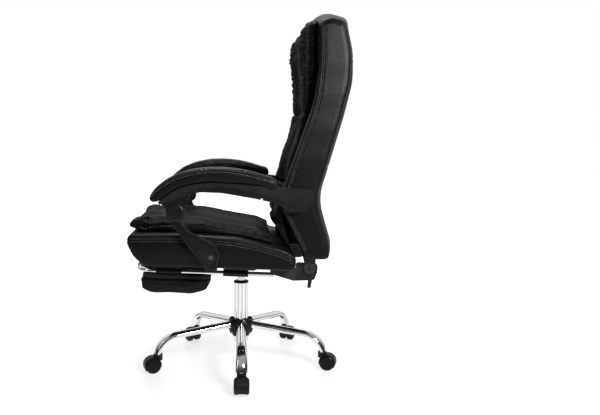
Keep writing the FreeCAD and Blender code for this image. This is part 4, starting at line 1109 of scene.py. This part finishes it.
def seat_top():
    """The seat's long pillow with its full front roll; gives its rows of stitches."""
    mesh = swollen_form("seat_pillow", voxel=0.005, hold=seat_grip, shrink=0.003, cap=0.009)
    rows = []
    for sign in SIDES.values():
        runs = [(x, sign * 0.15, ABOVE) for x in np.linspace(-0.31, 0.08, 8)]
        crest = seam_line(mesh, runs, DOWNWARD)
        groove(mesh, crest, depth=0.0025, width=0.005)
        gathers(mesh, crest, height=0.0014, wave=0.018, reach=0.022, seed=51.0 + sign)
        rows.append([(x, y - sign * 0.006, z) for x, y, z in runs])
        side = [(x, sign * 0.206, ABOVE) for x in np.linspace(-0.33, 0.09, 8)]
        welt = seam_line(mesh, side, DOWNWARD)
        groove(mesh, welt, depth=0.0012, width=0.003)
        gathers(mesh, welt, height=0.0016, wave=0.013, reach=0.016, seed=53.0 + sign, end=0.16)
    across = [(-0.285, y, ABOVE) for y in np.linspace(-0.2, 0.2, 9)]
    roll = seam_line(mesh, across, DOWNWARD)
    groove(mesh, roll, depth=0.0024, width=0.006)
    gathers(mesh, roll, height=0.0016, wave=0.015, reach=0.022, seed=57.0)
    # The roll rises a little, and its lip hangs forwards and down over the box.
    points = points_of(mesh)
    nose = 1 - step_up(points[:, 0], -0.32, -0.26)
    points[:, 2] += 0.005 * nose * step_up(points[:, 2], 0.478, 0.505)
    lip = (1 - step_up(points[:, 0], -0.348, -0.33)) * (1 - step_up(points[:, 2], 0.494, 0.512))
    points[:, 0] -= 0.012 * lip
    points[:, 2] -= 0.007 * lip
    set_points(mesh, points)
    creased(mesh, nose, height=0.0020, wave=0.016, axis_scale=(1.0, 1.2, 1.2), seed=58.0)
    rest = (1 - nose) * 0.35
    creased(mesh, rest, height=0.0022, wave=0.05, axis_scale=(1.2, 0.6, 1.0), seed=59.0)
    cushion("seat_top_pad", "seat_pillow", "seat", mesh)
    return [laid_on(mesh, row, DOWNWARD, STITCH_PROUD) for row in rows]


def seat_cushions():
    stitches("seat_stitches", "seat", seat_box() + seat_top())


# The arm pad's lower edge and its welt, as (x, z), and its middle and a place beside it in Y
ARM_FOOT = [(-0.262, 0.590), (-0.246, 0.592), (-0.23, 0.602), (-0.193, 0.629), (-0.15, 0.643),
            (-0.095, 0.649), (-0.005, 0.645), (0.078, 0.637), (0.098, 0.64)]
ARM_WELT = [(-0.262, 0.612), (-0.247, 0.630), (-0.213, 0.653), (-0.174, 0.670), (-0.123, 0.682),
            (-0.07, 0.686), (-0.01, 0.681), (0.05, 0.668), (0.09, 0.655)]
ARM_MIDDLE, ARM_BESIDE = 0.2995, 0.05


def arm_cover(name, sign):
    """Arm pad: a side band, and a full top panel sewn to it along a fine welt."""
    def grip(points):
        foot = np.interp(points[:, 0], *zip(*ARM_FOOT))
        return 1 - step_up(points[:, 2] - foot, 0.004, 0.012)

    mesh = swollen_form("arm_pad_" + name, voxel=0.004, hold=grip, shrink=0.0012, cap=0.003)
    points = points_of(mesh)
    heel = step_up(points[:, 0], 0.05, 0.092)
    points[:, 0] += 0.007 * heel
    points[:, 2] -= 0.005 * heel * (1 - step_up(points[:, 2], 0.645, 0.66))
    set_points(mesh, points)
    cords, rows = [], []
    for face in (-1, 1):
        y = sign * ARM_MIDDLE + face * ARM_BESIDE
        welt = [(x, y, z) for x, z in ARM_WELT]
        line = seam_line(mesh, welt, inward(face))
        groove(mesh, line, depth=0.0012, width=0.0035)
        gathers(mesh, line, height=0.0005, wave=0.016, reach=0.01, seed=61.0 + face)
        cords.append((welt, inward(face)))
        rows.append(([(x, y, z - 0.0055) for x, z in ARM_WELT], inward(face)))
    top = step_up(points_of(mesh)[:, 2], 0.6, 0.67)
    creased(mesh, top, height=0.0010, wave=0.05, axis_scale=(1.0, 1.0, 1.0), seed=63.0 + sign)
    cushion("arm_cover_" + name, "arm_pad_" + name, "arm_" + name, mesh)
    stitches("arm_stitches_" + name, "arm_" + name, rows_on(mesh, rows, STITCH_PROUD))
    welts = rows_on(mesh, cords, proud=0.0004)
    piping("arm_welt_" + name, "arm_" + name, welts, radius=0.0014)


def footrest_cover():
    """Footrest pad: a boxed pad, held at its board, with a welt along both sides."""
    def grip(points):
        return step_up(above_seat(points), -0.062, -0.054)

    mesh = swollen_form("footrest_pad", voxel=0.005, hold=grip, shrink=0.001, cap=0.0025)
    cords = []
    for sign in SIDES.values():
        route = [seat_point(x, sign * OUTSIDE, -0.064) for x in (-0.306, -0.26, -0.18, -0.11)]
        groove(mesh, seam_line(mesh, route, inward(sign)), depth=0.0012, width=0.0035)
        cords.append((route, inward(sign)))
    whole = np.full(len(mesh.vertices), 0.5)
    creased(mesh, whole, height=0.0008, wave=0.06, axis_scale=(1.0, 1.0, 1.0), seed=77.0)
    cushion("footrest_cover", "footrest_pad", "footrest_pad", mesh)
    welts = rows_on(mesh, cords, proud=0.0003)
    piping("footrest_welt", "footrest_pad", welts, radius=0.0014)


backrest_shell()
back_pillows()
seat_cushions()
for arm_name, arm_sign in SIDES.items():
    arm_cover(arm_name, arm_sign)
footrest_cover()
